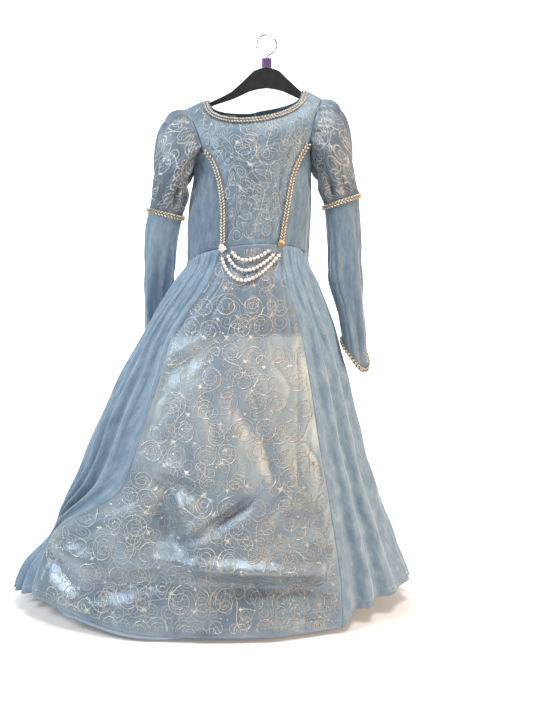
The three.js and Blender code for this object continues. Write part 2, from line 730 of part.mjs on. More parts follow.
const neckLine = (share) => {
  const turn = Math.PI * share;
  const x = turn < Math.PI / 2
    ? lerp(neck.left, neck.centre, 1 - Math.cos(turn))
    : lerp(neck.right, neck.centre, 1 + Math.cos(turn));
  return { x, z: shoulderZ(x) - neck.frontDrop * Math.sin(turn) ** 0.8 };
};
add('neck_braid', frontBraid({ line: neckLine, near: 0.4, far: braidWidth, spans: 20 }), 'braid');

for (const which of sides) {
  const reach = { from: 0.05, to: notchRise - 0.035 };
  add(`princess_braid_${which}`, frontBraid({
    line: (share) => {
      const rise = lerp(reach.from, reach.to, share);
      const foot = waistZ(angleAt(bodiceEdgeX[which](0), waistSideZ));
      return {
        x: bodiceEdgeX[which](rise),
        z: lerp(foot, shoulderZ(bodiceEdgeX[which](1)), rise),
      };
    },
    near: -braidWidth / 2,
    far: braidWidth / 2,
    spans: 10,
  }), 'braid');
}

// Pearl swags. Each rests on the skirt front, found by looking straight back at it.
const skirtFront = dress.getObjectByName('skirt_front');
const lookBack = new THREE.Raycaster();

function swagCurve({ left, right, drop }) {
  const hang = (share) => {
    const s = share ** swagSkew;
    const x = lerp(left.x, right.x, share);
    const z = lerp(left.z, right.z, share) - drop * 4 * s * (1 - s);
    lookBack.set(new THREE.Vector3(x, 2 * section.front(z), z), new THREE.Vector3(0, 1, 0));
    const [{ point, face }] = lookBack.intersectObject(skirtFront);
    return point.addScaledVector(face.normal, pearlRadius + swagLift);
  };
  return new THREE.CatmullRomCurve3(shares(24).map(hang));
}

for (const [name, swag] of Object.entries(swags)) {
  const curve = swagCurve(swag);
  const pearls = Math.round(curve.getLength() / pearlPitch);
  const radii = shares(2 * pearls).map((_, ring) => (ring % 2 ? pearlRadius : threadRadius));
  add(`pearl_swag_${name}`, roundAlong(curve, radii, 5), 'pearl');
}

for (const which of sides) {
  const { x, z, lobes, material } = brooches[which];
  const ball = new THREE.IcosahedronGeometry(1, 2);
  const place = ball.getAttribute('position');
  for (let i = 0; i < place.count; i += 1) {
    const spot = new THREE.Vector3().fromBufferAttribute(place, i);
    const lump = Math.cos(lobes * spot.x) * Math.cos(lobes * spot.z);
    spot.multiplyScalar(broochRadius * (0.88 + 0.12 * lump));
    place.setXYZ(i, spot.x, 0.7 * spot.y, spot.z);
  }
  const centre = bodyPoint(angleAt(x, z), z, -0.7 * broochRadius - layGap);
  ball.deleteAttribute('normal');
  ball.deleteAttribute('uv');
  ball.translate(centre.x, centre.y, centre.z);
  add(`brooch_${which}`, ball, material);
}

// Label and closure on the inside of the back
function insideBack({ x, top, width, height, wall: thickness }) {
  const middle = signOf[x < neck.centre ? 'left' : 'right'];
  return wall({
    point: (across, down) => {
      const z = top - height * down;
      const angle = angleAt(x + width * (across - 0.5), z);
      return bodyPoint(middle * Math.PI - angle, z, velourWall + 4 * layGap, seamGap / 2);
    },
    turn: 1,
    across: shares(4),
    along: [0, 0.5, 1],
    thickness,
  });
}
add('neck_label', insideBack(neckLabel), 'label');
add('back_tab', insideBack(backTab), 'tape');

// Hanger, size marker and hook
const hangerOutline = [
  [0, hangerCentre.top], ...hangerRidge, ...hangerUnderside, [0, hangerCentre.low],
  ...[...hangerRidge, ...hangerUnderside].reverse().map(([x, z]) => [-x, z]),
];
const hangerShape = new THREE.Shape(hangerOutline.map(([x, z]) => new THREE.Vector2(x, z)));
const hangerBody = new THREE.ExtrudeGeometry(hangerShape, {
  depth: hangerDepth.whole - 2 * hangerDepth.bevel,
  bevelSize: hangerDepth.bevel,
  bevelThickness: hangerDepth.bevel,
  bevelOffset: -hangerDepth.bevel,
  bevelSegments: 1,
});
hangerBody.rotateX(Math.PI / 2);
hangerBody.translate(0, hangerDepth.whole / 2 - hangerDepth.bevel, 0);
add('hanger', hangerBody, 'plastic');

const { width: markerWidth, depth: markerDepth, corner } = sizeMarker;
const markerShape = new THREE.Shape();
const [farX, farY] = [markerWidth / 2 - corner, markerDepth / 2 - corner];
markerShape.absarc(farX, farY, corner, 0, Math.PI / 2);
markerShape.absarc(-farX, farY, corner, Math.PI / 2, Math.PI);
markerShape.absarc(-farX, -farY, corner, Math.PI, 1.5 * Math.PI);
markerShape.absarc(farX, -farY, corner, 1.5 * Math.PI, 2 * Math.PI);
markerShape.holes.push(new THREE.Path().absarc(0, 0, hook.wire / 2 + 0.4, 0, 2 * Math.PI, true));
const markerBody = new THREE.ExtrudeGeometry(markerShape, {
  depth: sizeMarker.top - sizeMarker.foot,
  bevelEnabled: false,
  curveSegments: 5,
});
markerBody.translate(0, 0, sizeMarker.foot);
add('size_marker', markerBody, 'marker');

// The hook's wire goes up through the marker and round over the rail.
const bendRadius = hook.bend + hook.wire / 2;
const bendPoints = shares(8, -28, hook.openEnd).map((degrees) => new THREE.Vector3(
  bendRadius * Math.cos(degToRad(degrees)),
  0,
  bendRadius * Math.sin(degToRad(degrees)) - hook.bend,
));
const hookCurve = new THREE.CatmullRomCurve3([
  ...shares(2, hook.foot, sizeMarker.top).map((z) => new THREE.Vector3(0, 0, z)),
  new THREE.Vector3(5, 0, -34),
  ...bendPoints,
]);
const hookRadii = shares(19).map((share) => (hook.wire / 2) * (share < 1 ? 1 : 0.6));
add('hook', roundAlong(hookCurve, hookRadii, 8), 'steel');

export default dress;
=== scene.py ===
import bpy
import numpy as np
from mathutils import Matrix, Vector


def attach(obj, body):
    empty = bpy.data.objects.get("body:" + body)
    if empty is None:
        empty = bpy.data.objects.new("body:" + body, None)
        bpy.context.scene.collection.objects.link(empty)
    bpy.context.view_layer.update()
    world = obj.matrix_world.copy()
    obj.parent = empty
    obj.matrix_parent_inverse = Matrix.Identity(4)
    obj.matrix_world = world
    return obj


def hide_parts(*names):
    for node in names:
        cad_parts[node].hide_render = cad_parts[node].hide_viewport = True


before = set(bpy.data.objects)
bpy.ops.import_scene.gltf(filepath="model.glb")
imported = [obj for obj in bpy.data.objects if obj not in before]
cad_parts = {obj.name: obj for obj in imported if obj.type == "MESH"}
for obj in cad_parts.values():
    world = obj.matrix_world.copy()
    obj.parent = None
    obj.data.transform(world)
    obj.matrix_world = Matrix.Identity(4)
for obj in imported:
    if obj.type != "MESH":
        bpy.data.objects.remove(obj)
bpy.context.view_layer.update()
print("frame loaded")

# Sizes below are millimetres in the CAD frame: +X to the right, +Z up, the front towards -Y.
mm = 0.001
sides = {"left": -1, "right": 1}

# Camera
view = {"place": (0, -1450, -355), "pitchDown": 10, "focalPixels": 725, "tallPixels": 710}
camera = bpy.data.objects.new("camera", bpy.data.cameras.new("camera"))
bpy.context.scene.collection.objects.link(camera)
camera.location = Vector(view["place"]) * mm
camera.rotation_euler = (np.radians(90 - view["pitchDown"]), 0, 0)
camera.data.lens = camera.data.sensor_width * view["focalPixels"] / view["tallPixels"]
bpy.context.scene.camera = camera


# Value of a smooth curve through a table's rows, for one of its columns:
# v0 + (v1 - v0) t^2 (3 - 2t) + h t (1 - t) ((1 - t) m0 - t m1), with monotone slopes m.
def curveOf(rows, column):
    table = np.array(sorted(rows), float)
    at, value = table[:, 0], table[:, column]
    rise = np.diff(value) / np.diff(at)
    before, after = np.append(rise[:1], rise), np.append(rise, rise[-1:])
    product = before * after
    total = np.where(product > 0, before + after, 1)
    slope = np.where(product > 0, 2 * product / total, 0)

    def evaluate(x):
        x = np.clip(x, at[0], at[-1])
        i = np.clip(np.searchsorted(at, x, side="right") - 1, 0, len(at) - 2)
        step = at[i + 1] - at[i]
        t = (x - at[i]) / step
        ease = t * t * (3 - 2 * t)
        bend = t * (1 - t) * step * ((1 - t) * slope[i] - t * slope[i + 1])
        return value[i] + (value[i + 1] - value[i]) * ease + bend

    return evaluate


def mix(a, b, t):  # a + (b - a) t
    return a + (b - a) * t


def ease(x, low, high):  # t^2 (3 - 2t) with t running 0 to 1 from low to high
    t = np.clip((x - low) / (high - low), 0, 1)
    return t * t * (3 - 2 * t)


# Uneven smooth waves, about -1 to 1: the sum of sin(2 pi f (u cos a + v sin a) / size + p) over n
# seeded directions a, rates f and phases p, over sqrt(2 n).
def ripple(u, v, size, seed, count=7):
    pick = np.random.default_rng(seed)
    total = 0
    for turn, rate, phase in zip(
        pick.uniform(0, np.pi, count), pick.uniform(0.6, 1.5, count), pick.uniform(0, 6.28, count)
    ):
        total = total + np.sin(2 * np.pi * rate * (u * np.cos(turn) + v * np.sin(turn)) / size + phase)
    return total / np.sqrt(2 * count)


# Creased cloth, 0 to 1: 1 - |ripple|, which is sharp where the waves cross zero
def crumple(u, v, size, seed):
    return np.clip(1 - 1.3 * np.abs(ripple(u, v, size, seed)), 0, 1) ** 2


# The dress's outer form, as in the CAD: rows of z, left, right, front, back
body = {
    "sections": [
        (-1120, -548, 320, -200, 184), (-1060, -518, 300, -192, 175), (-1006, -468, 277, -184, 166),
        (-899, -417, 236, -166, 148), (-794, -368, 203, -150, 130), (-692, -322, 178, -133, 112),
        (-592, -266, 149, -114, 94), (-504, -213, 119, -96, 78), (-456, -181, 100, -84, 68),
        (-422, -157, 84, -71, 60), (-368, -156, 86, -67, 58), (-308, -151, 88, -66, 58),
        (-256, -142, 87, -66, 58), (-232, -143, 91, -65, 58), (-214, -148, 99, -65, 58),
        (-190, -163, 117, -64, 58), (-160, -192, 146, -64, 58), (-130, -222, 178, -64, 58),
        (-90, -244, 204, -64, 58),
    ],
    "shoulderLine": [(-170, -139), (-157, -133), (-112, -115), (68, -97.5), (106, -114), (120, -121)],
    "capHeight": 6, "capShare": 0.14, "fullBelow": 95,
}
bodyLeft, bodyRight, bodyFront, bodyBack = (curveOf(body["sections"], k) for k in (1, 2, 3, 4))
shoulderZ = curveOf(body["shoulderLine"], 1)


def centreX(z):  # mean of the left and right edges
    return (bodyLeft(z) + bodyRight(z)) / 2


def halfWidth(z):  # half of their distance
    return (bodyRight(z) - bodyLeft(z)) / 2


# How far the front and back stand apart, 0 at the shoulder line to 1 well below it:
# c sqrt(1 - (1 - d / h)^2) + (1 - c) sin(pi d / 2 f), with d the depth below the line.
def openness(x, z):
    below = np.maximum(0, shoulderZ(x) - z)
    cap = np.sqrt(1 - (1 - np.minimum(below / body["capHeight"], 1)) ** 2)
    fall = np.sin(np.pi / 2 * np.minimum(below / body["fullBelow"], 1))
    return body["capShare"] * cap + (1 - body["capShare"]) * fall


# Point of the form: x = c(z) + W(z) sin a and y = -D(z) cos a times the openness, moved in level
# along the outline's normal by inset, and back by apart.
def bodyPoint(angle, z, inset=0.0, apart=0.0):
    angle, z, inset = np.broadcast_arrays(np.asarray(angle, float), z, inset)
    sin, cos, width = np.sin(angle), np.cos(angle), halfWidth(z)
    depth = np.where(cos > 0, -bodyFront(z), bodyBack(z))
    x = centreX(z) + width * sin
    outX, outY = depth * sin, -width * cos
    length = np.hypot(outX, outY)
    y = -depth * cos * openness(x, z) - inset * outY / length + apart
    return np.stack([x - inset * outX / length, y, z], -1)


def angleAt(x, z):  # asin((x - c) / W), on the front
    return np.arcsin(np.clip((x - centreX(z)) / halfWidth(z), -1, 1))


def unit(vectors):  # each vector over its length
    return vectors / np.maximum(np.linalg.norm(vectors, axis=-1, keepdims=True), 1e-12)


# Outward normal of a face(u, v): the cross product of its two small steps, turned to face out
def normalOf(face, turn, u, v, step=1e-4):
    du = face(u + step, v) - face(u - step, v)
    dv = face(u, v + step) - face(u, v - step)
    return turn * unit(np.cross(du, dv))


# Axes of eggs lying on a face: cos(slant) along + sin(slant) across, the same turned by a right
# angle, and out
def eggAxes(face, turn, u, v, slant=0.0, step=1e-4):
    out = normalOf(face, turn, u, v)
    along = unit(face(u + step, v) - face(u - step, v))
    slant = np.asarray(slant, float)[..., None]
    longWay = np.cos(slant) * along + np.sin(slant) * np.cross(out, along)
    return np.stack([longWay, np.cross(out, longWay), out], -2)


# Cubic between two ends: (1 + 2t)(1 - t)^2 P0 + t^2 (3 - 2t) P1 + t (1 - t)^2 T0 - t^2 (1 - t) T1
def cubic(start, end, leave, arrive, t):
    ends = start * (1 + 2 * t) * (1 - t) ** 2 + end * t * t * (3 - 2 * t)
    return ends + leave * t * (1 - t) ** 2 - arrive * t * t * (1 - t)


def lifted(face, turn, distance):  # the face moved out along its normal
    def moved(u, v):
        far = distance(u, v)[..., None] if callable(distance) else distance
        return face(u, v) + normalOf(face, turn, u, v) * far

    return moved


# A mesh from arrays of points in millimetres, faces of equal size and uv pairs for their corners
def meshFrom(name, points, faces, uv=None, smooth=True):
    faces = np.asarray(faces, np.int32)
    mesh = bpy.data.meshes.new(name)
    mesh.vertices.add(len(points))
    mesh.vertices.foreach_set("co", (np.asarray(points, float) * mm).ravel())
    mesh.loops.add(faces.size)
    mesh.loops.foreach_set("vertex_index", faces.ravel())
    mesh.polygons.add(len(faces))
    mesh.polygons.foreach_set("loop_start", np.arange(len(faces)) * faces.shape[1])
    mesh.polygons.foreach_set("use_smooth", np.full(len(faces), smooth))
    if uv is not None:
        mesh.uv_layers.new(name="cloth").data.foreach_set("uv", np.asarray(uv, float).ravel())
    mesh.update(calc_edges=True)
    mesh.validate()
    piece = bpy.data.objects.new(name, mesh)
    bpy.context.scene.collection.objects.link(piece)
    return piece


def place(piece, material, nodes=()):
    piece.data.materials.append(material)
    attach(piece, "root")
    if nodes:
        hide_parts(*nodes)
    return piece


# Corner indices of a grid's quads, and of a tube's, whose last column is its first
def gridFaces(rows, columns, turn, tube=False):
    j, i = np.meshgrid(np.arange(rows - 1), np.arange(columns - 1), indexing="ij")
    corners = np.stack([(j, i), (j, i + 1), (j + 1, i + 1), (j + 1, i)], -1).reshape(2, -1, 4)
    if turn < 0:
        corners = corners[:, :, ::-1]
    wide = columns - 1 if tube else columns
    return corners, corners[0] * wide + corners[1] % wide


# Cloth from a face(u, v): a grid of its points, with uv the lengths along it in metres, and a
# Solidify modifier for the thickness, which goes inwards.
def cloth(name, face, turn, spans, rows, thick, tube=False):
    u = np.linspace(0, 1, spans + 1) if np.isscalar(spans) else np.asarray(spans)
    v = np.linspace(0, 1, rows + 1) if np.isscalar(rows) else np.asarray(rows)
    gridU, gridV = np.meshgrid(u, v)
    points = face(gridU, gridV)
    along = np.linalg.norm(np.diff(points, axis=1), axis=-1)
    down = np.linalg.norm(np.diff(points, axis=0), axis=-1)
    reach = np.pad(np.cumsum(along, 1), ((0, 0), (1, 0)))
    middle = len(u) // 2
    drop = np.append(0, np.cumsum(down[:, middle]))
    across = reach - reach[:, middle:middle + 1]
    uv = np.stack([across, np.broadcast_to(-drop[:, None], reach.shape)], -1) * mm
    corners, faces = gridFaces(len(v), len(u), turn, tube)
    kept = points[:, :-1] if tube else points
    piece = meshFrom(name, kept.reshape(-1, 3), faces, uv[corners[0], corners[1]])
    thicken = piece.modifiers.new("thickness", "SOLIDIFY")
    thicken.thickness = thick * mm
    thicken.offset = -1
    diagonals = np.cross(points[1:, 1:] - points[:-1, :-1], points[1:, :-1] - points[:-1, 1:])
    area = np.linalg.norm(diagonals, axis=-1).sum() / 2 * mm * mm
    cut = (reach[:, -1].max() * mm, np.cumsum(down, 0)[-1].max() * mm)
    return piece, cut, min(area, cut[0] * cut[1])


thickness = {"velour": 1.6, "brocade": 1.3, "lining": 1.0}


# Cloth in the place of a node, as thick as its slot's cloth is
def sew(name, node, face, turn, spans, rows, slot, material, tube=False):
    piece, cut, area = cloth(name, face, turn, spans, rows, thickness[slot], tube)
    place(piece, material, [node])


# Materials: a noise's scale (one number, or one for each axis), detail and roughness
weave = {
    "patches": ((70, 26, 1), 8, 0.74), "fibres": ((900, 420, 1), 3, 0.7), "soft": ((16, 10, 1), 3, 0.5),
    "floats": ((2600, 160, 1), 2, 0.5), "grain": ((300, 300, 1), 4, 0.75), "puckers": ((60, 75, 1), 4, 0.6),
    "printTone": (14, 2, 0.5), "braidThreads": ((900, 1900, 1), 2, 0.6), "braidTone": ((60, 60, 1), 3, 0.6),
    "glossTone": (60, 3, 0.5), "netScale": 420, "flakeScale": 1300,
}


# One material's nodes, with short ways to add more
class Paint:
    def __init__(self, name, coordinates):
        self.material = bpy.data.materials.new(name)
        self.material.use_nodes = True
        self.nodes, self.links = self.material.node_tree.nodes, self.material.node_tree.links
        self.where = self.nodes.new("ShaderNodeTexCoord").outputs[coordinates]

    def add(self, kind, source, socket, values=()):  # node with a source linked in and numbers set
        node = self.nodes.new("ShaderNode" + kind)
        self.links.new(source, node.inputs[socket])
        for key, value in dict(values).items():
            node.inputs[key].default_value = value
        return node

    def noise(self, name):
        scale, detail, rough = weave.get(name, name)
        vector = self.where
        if not np.isscalar(scale):
            vector = self.add("Mapping", vector, "Vector", {"Scale": scale}).outputs["Vector"]
            scale = 1
        values = {"Scale": scale, "Detail": detail, "Roughness": rough}
        return self.add("TexNoise", vector, "Vector", values).outputs["Fac"]

    def ramp(self, factor, stops):
        node = self.add("ValToRGB", factor, "Fac")
        while len(node.color_ramp.elements) < len(stops):
            node.color_ramp.elements.new(0.5)
        for element, (at, colour) in zip(node.color_ramp.elements, stops):
            element.position = at
            element.color = (*colour, 1)
        return node.outputs["Color"]

    def summed(self, *terms, start=0):  # start + the sum of factor times value, over pairs
        total = None
        for factor, value in terms:
            node = self.add("Math", value, 0, {1: factor, 2: start})
            node.operation = "MULTIPLY_ADD"
            if total is not None:
                self.links.new(total, node.inputs[2])
            total = node.outputs[0]
        return total

    # the material, with its colour, the shader's numbers, and a bump of a height, strength and depth
    def finish(self, colour, values, height, strength, depth):
        shader = self.nodes["Principled BSDF"]
        self.links.new(colour, shader.inputs["Base Color"])
        for key, value in values.items():
            shader.inputs[key].default_value = value
        bump = self.add("Bump", height, "Height", {"Strength": strength, "Distance": depth})
        self.links.new(bump.outputs["Normal"], shader.inputs["Normal"])
        return self.material


velourLook = {
    "dark": (0.115, 0.19, 0.285), "middle": (0.19, 0.28, 0.375), "pale": (0.315, 0.4, 0.465),
    "sheen": 0.8, "sheenTint": (0.9, 0.93, 0.97), "roughness": 0.62, "stops": (0.35, 0.5, 0.67),
}
satinLook = {
    "dark": (0.148, 0.212, 0.285), "middle": (0.24, 0.32, 0.395), "pale": (0.395, 0.475, 0.525),
    "roughness": 0.34, "sheen": 0.1, "metallic": 0.4, "pucker": 2.2, "stops": (0.42, 0.62, 0.84),
}


def tones(look, stops, shade=1.0):  # a look's three colours times a shade, at their stops
    colours = (look["dark"], look["middle"], look["pale"])
    return [(at, tuple(shade * part for part in colour)) for at, colour in zip(stops, colours)]


# Short pile: patches where the nap lies another way, over fine fibres. Shade darkens the whole colour
# as painted shade, for the darker bodice sides and the right sleeve.
def velourMaterial(name, shade=1.0):
    paint = Paint(name, "UV")
    patches, fibres = paint.noise("patches"), paint.noise("fibres")
    both = paint.summed((0.75, patches), (0.25, fibres))
    values = {
        "Roughness": velourLook["roughness"], "Sheen Weight": velourLook["sheen"], "Sheen Roughness": 0.35,
        "Sheen Tint": (*velourLook["sheenTint"], 1), "Specular IOR Level": 0.25,
    }
    colour = paint.ramp(both, tones(velourLook, velourLook["stops"], shade))
    return paint.finish(colour, values, fibres, 0.35, 0.0004)


# Satin under a sheer net: long fine floats, the net's crossing threads and soft shading
def satinMaterial(name, look, netStrength, paintedLightRows=()):
    paint = Paint(name, "UV")
    soft, floats, grain, puckers = (paint.noise(name) for name in ("soft", "floats", "grain", "puckers"))
    threads = []
    for direction in ("X", "Y"):
        wave = paint.add("TexWave", paint.where, "Vector", {"Scale": weave["netScale"]})
        wave.bands_direction = direction
        threads.append((0.5, wave.outputs["Fac"]))
    net = paint.summed(*threads)
    terms = [(0.7, soft), (0.1, floats), (0.1, net), (0.6 * netStrength, grain)]
    # painted light: the satin made lighter below its matte border, most in the middle, as painted sheen
    if paintedLightRows:  # lightness and roughness by the length down the panel, in metres
        axes = paint.add("SeparateXYZ", paint.where, "Vector")
        down = paint.summed((-1, axes.outputs["Y"]))
        light = paint.ramp(down, [(at, (value,) * 3) for at, value, _ in paintedLightRows])
        gloss = paint.ramp(down, [(at, (rough,) * 3) for at, _, rough in paintedLightRows])
        terms.append((1, light))
        paint.links.new(gloss, paint.nodes["Principled BSDF"].inputs["Roughness"])
    both = paint.summed(*terms, start=-0.3 * netStrength)
    values = {
        "Roughness": look["roughness"], "Sheen Weight": look["sheen"], "Metallic": look.get("metallic", 0),
        "Specular IOR Level": 0.6,
    }
    height = paint.summed((0.2, floats), (0.4 * netStrength, net), (look.get("pucker", 0), puckers),
                          (1.6 * netStrength, grain))
    colour = paint.ramp(both, tones(look, look.get("stops", (0.3, 0.5, 0.72))))
    return paint.finish(colour, values, height, 0.5, 0.001)


# Glitter print: flakes in three tones, each catching the light its own way, darker and warmer to the right
# as a painted tint of warm light from that side
def glitterMaterial(name, colours, metallic):
    paint = Paint(name, "Object")
    flakes = paint.add("TexVoronoi", paint.where, "Vector", {"Scale": weave["flakeScale"]})
    split = paint.add("SeparateColor", flakes.outputs["Color"], "Color").outputs
    axes = paint.add("SeparateXYZ", paint.where, "Vector")
    # the -0.9 x term is painted warm light: the print turns darker and warmer towards the right
    both = paint.summed((0.55, paint.noise("printTone")), (0.45, split["Red"]), (-0.9, axes.outputs["X"]))
    colour = paint.ramp(both, list(zip((0.25, 0.5, 0.75), colours)))
    return paint.finish(colour, {"Metallic": metallic, "Roughness": 0.36}, split["Green"], 0.8, 0.0004)


# Metal thread braid: fine twisted threads over the woven links
def braidMaterial(name, low, high):
    paint = Paint(name, "UV")
    threads = paint.noise("braidThreads")
    both = paint.summed((0.5, threads), (0.5, paint.noise("braidTone")))
    colour = paint.ramp(both, [(0.32, low), (0.68, high)])
    return paint.finish(colour, {"Metallic": 0.7, "Roughness": 0.4}, threads, 0.6, 0.0005)


# Hard or plain surfaces: two near colours, mixed by a slow noise, over a fine grain
def glossMaterial(name, low, high, roughness, metallic=0.0, coat=0.0, grain=900):
    paint = Paint(name, "Object")
    colour = paint.ramp(paint.noise("glossTone"), [(0.35, low), (0.65, high)])
    values = {"Roughness": roughness, "Metallic": metallic, "Coat Weight": coat}
    return paint.finish(colour, values, paint.noise((grain, 2, 0.5)), 0.2, 0.0001)


liningLook = {
    "dark": (0.24, 0.33, 0.46), "middle": (0.33, 0.43, 0.56), "pale": (0.42, 0.52, 0.64),
    "roughness": 0.45, "sheen": 0.1,
}
# duller where the net lies over it, on the bodice and the puffs
nettedLook = {
    "dark": (0.102, 0.163, 0.226), "middle": (0.16, 0.235, 0.31), "pale": (0.262, 0.348, 0.41),
    "roughness": 0.42, "sheen": 0.15, "metallic": 0.25, "pucker": 2.6,
}
# the same netted satin made darker on the puffs, as painted shade
puffPaintedShadeLook = {
    **nettedLook, "dark": (0.082, 0.116, 0.158), "middle": (0.135, 0.18, 0.23), "pale": (0.25, 0.305, 0.35),
}
# the skirt's satin: length down in metres, added lightness as painted sheen (none above the matte border,
# most in the middle), roughness
skirtPaintedLightAndRoughness = [
    (0, 0, 0.5), (0.172, 0, 0.5), (0.184, 0.26, 0.46), (0.4, 0.24, 0.43), (0.52, 0.13, 0.32),
    (0.8, 0.12, 0.26),
]
velour = velourMaterial("velour")
# a darker copy of the velour, as painted shade on the bodice sides and the right sleeve
paintedShadeVelour = velourMaterial("painted_shade_velour", 0.72)
satin = satinMaterial("netted_satin", nettedLook, 0.5)
puffPaintedShadeSatin = satinMaterial("puff_satin_painted_shade", puffPaintedShadeLook, 0.5)
skirtSatin = satinMaterial("skirt_satin", satinLook, 0.35, skirtPaintedLightAndRoughness)
liningCloth = satinMaterial("lining", liningLook, 0.0)
glitter = glitterMaterial("glitter", [(0.4, 0.32, 0.24), (0.6, 0.57, 0.52), (0.74, 0.78, 0.8)], 0.7)
bodiceGlitter = glitterMaterial(
    "bodice_glitter", [(0.36, 0.34, 0.31), (0.46, 0.49, 0.52), (0.6, 0.67, 0.71)], 0.5)
softPrint = glitterMaterial("soft_print", [(0.36, 0.36, 0.36), (0.42, 0.45, 0.47), (0.5, 0.53, 0.54)], 0.3)
printShadow = glitterMaterial(
    "print_shadow", [(0.13, 0.11, 0.09), (0.14, 0.14, 0.14), (0.17, 0.19, 0.21)], 0.2)
silverBraid = braidMaterial("silver_braid", (0.26, 0.25, 0.23), (0.82, 0.8, 0.75))
goldBraid = braidMaterial("gold_braid", (0.3, 0.24, 0.16), (0.84, 0.76, 0.63))
# near black, as painted shade in the gaps between the braid's loops
paintedShadeTape = braidMaterial("braid_tape_painted_shade", (0.1, 0.1, 0.1), (0.34, 0.31, 0.27))
pearlGloss = glossMaterial("pearl", (0.66, 0.62, 0.56), (0.82, 0.8, 0.76), 0.22, 0, 0.6)
goldGloss = glossMaterial("gold", (0.4, 0.25, 0.1), (0.82, 0.62, 0.36), 0.3, 0.85)
threadFibre = glossMaterial("thread", (0.55, 0.53, 0.5), (0.75, 0.73, 0.7), 0.7)
blackPlastic = glossMaterial("black_plastic", (0.006, 0.006, 0.007), (0.014, 0.014, 0.016), 0.38)
purplePlastic = glossMaterial("purple_plastic", (0.08, 0.035, 0.15), (0.12, 0.055, 0.2), 0.3, 0, 0.3)
hookSteel = glossMaterial("hook_steel", (0.55, 0.56, 0.58), (0.72, 0.73, 0.75), 0.18, 1.0, 0, 1500)
print("materials made")

# Pearl swags: left end, right end (x, z) and drop
pearls = {
    "upper": ((-66, -396), (8, -395), 20), "middle": ((-73, -402), (16, -402), 33),
    "lower": ((-84, -407), (26, -402), 48),
    "skew": 0.72, "radius": 3.5, "pitch": 7.6, "lift": 1.2, "thread": 0.8,
}


# A swag hangs by z = straight line - 4 drop s (1 - s), with s = share^skew
def swagPath(name, count=200):
    left, right, drop = pearls[name]
    share = np.linspace(0, 1, count)
    s = share ** pearls["skew"]
    x = mix(left[0], right[0], share)
    z = mix(left[1], right[1], share) - 4 * drop * s * (1 - s)
    return bodyPoint(angleAt(x, z), z, -pearls["radius"] - pearls["lift"])


def evenly(path, count):  # points at equal lengths along a path
    reach = np.append(0, np.cumsum(np.linalg.norm(np.diff(path, axis=0), axis=1)))
    at = np.linspace(0, reach[-1], count)
    return np.stack([np.interp(at, reach, path[:, k]) for k in range(3)], -1), reach[-1]


# Balls or eggs joined in one mesh: centre + a x X + b y Y + c z Z, with x, y, z on a unit ball
# and X, Y, Z each egg's own axes
def ballPiece(name, centres, radii, axes=None, around=18, up=11):
    theta = np.linspace(0, 2 * np.pi, around, endpoint=False)
    phi = np.linspace(-np.pi / 2, np.pi / 2, up)
    t, p = np.meshgrid(theta, phi)
    ball = np.stack([np.cos(t) * np.cos(p), np.sin(t) * np.cos(p), np.sin(p)], -1).reshape(-1, 3)
    radii = np.asarray(radii, float).reshape(len(centres), -1) * np.ones((1, 3))
    axes = np.broadcast_to(np.eye(3), (len(centres), 3, 3)) if axes is None else axes
    points = np.asarray(centres)[:, None] + np.einsum("vk,nk,nkc->nvc", ball, radii, axes)
    _, quads = gridFaces(up, around + 1, 1, tube=True)
    tris = np.concatenate([quads[:, :3], quads[:, [0, 2, 3]]])
    faces = tris[None] + (np.arange(len(points)) * len(ball))[:, None, None]
    return meshFrom(name, points.reshape(-1, 3), faces.reshape(-1, 3))


# Round tube: centre + r (cos a N + sin a B), with N square to the path and near a fixed side
def tubePiece(name, path, radius, corners, side=(0, 1, 0)):
    along = unit(np.gradient(path, axis=0))
    normal = unit(np.cross(along, np.asarray(side, float)))
    other = np.cross(along, normal)
    angle = np.linspace(0, 2 * np.pi, corners, endpoint=False)[None, :, None]
    radius = np.broadcast_to(radius, len(path))[:, None, None]
    rings = path[:, None] + radius * (np.cos(angle) * normal[:, None] + np.sin(angle) * other[:, None])
    points = np.concatenate([rings.reshape(-1, 3), path[:1], path[-1:]])
    _, quads = gridFaces(len(path), corners + 1, 1, tube=True)
    first, last, foot = len(points) - 2, len(points) - 1, (len(path) - 1) * corners
    k = np.arange(corners)
    ahead = (k + 1) % corners
    caps = [np.stack([first + 0 * k, ahead, k], -1), np.stack([last + 0 * k, foot + k, foot + ahead], -1)]
    return meshFrom(name, points, np.concatenate([quads[:, :3], quads[:, [0, 2, 3]], *caps]))


for name in ("upper", "middle", "lower"):
    path, length = evenly(swagPath(name), 60)
    count = int(length / pearls["pitch"])
    centres, _ = evenly(swagPath(name), count + 2)
    node = f"pearl_swag_{name}"
    string = place(ballPiece(f"pearls_{name}", centres[1:-1], np.full(count, pearls["radius"])),
                   pearlGloss)
    thread = tubePiece(f"thread_{name}", path, pearls["thread"] / 2, 8)
    place(thread, threadFibre, [node])
    print(f"pearl swag {name}: {length:.0f} mm of thread")

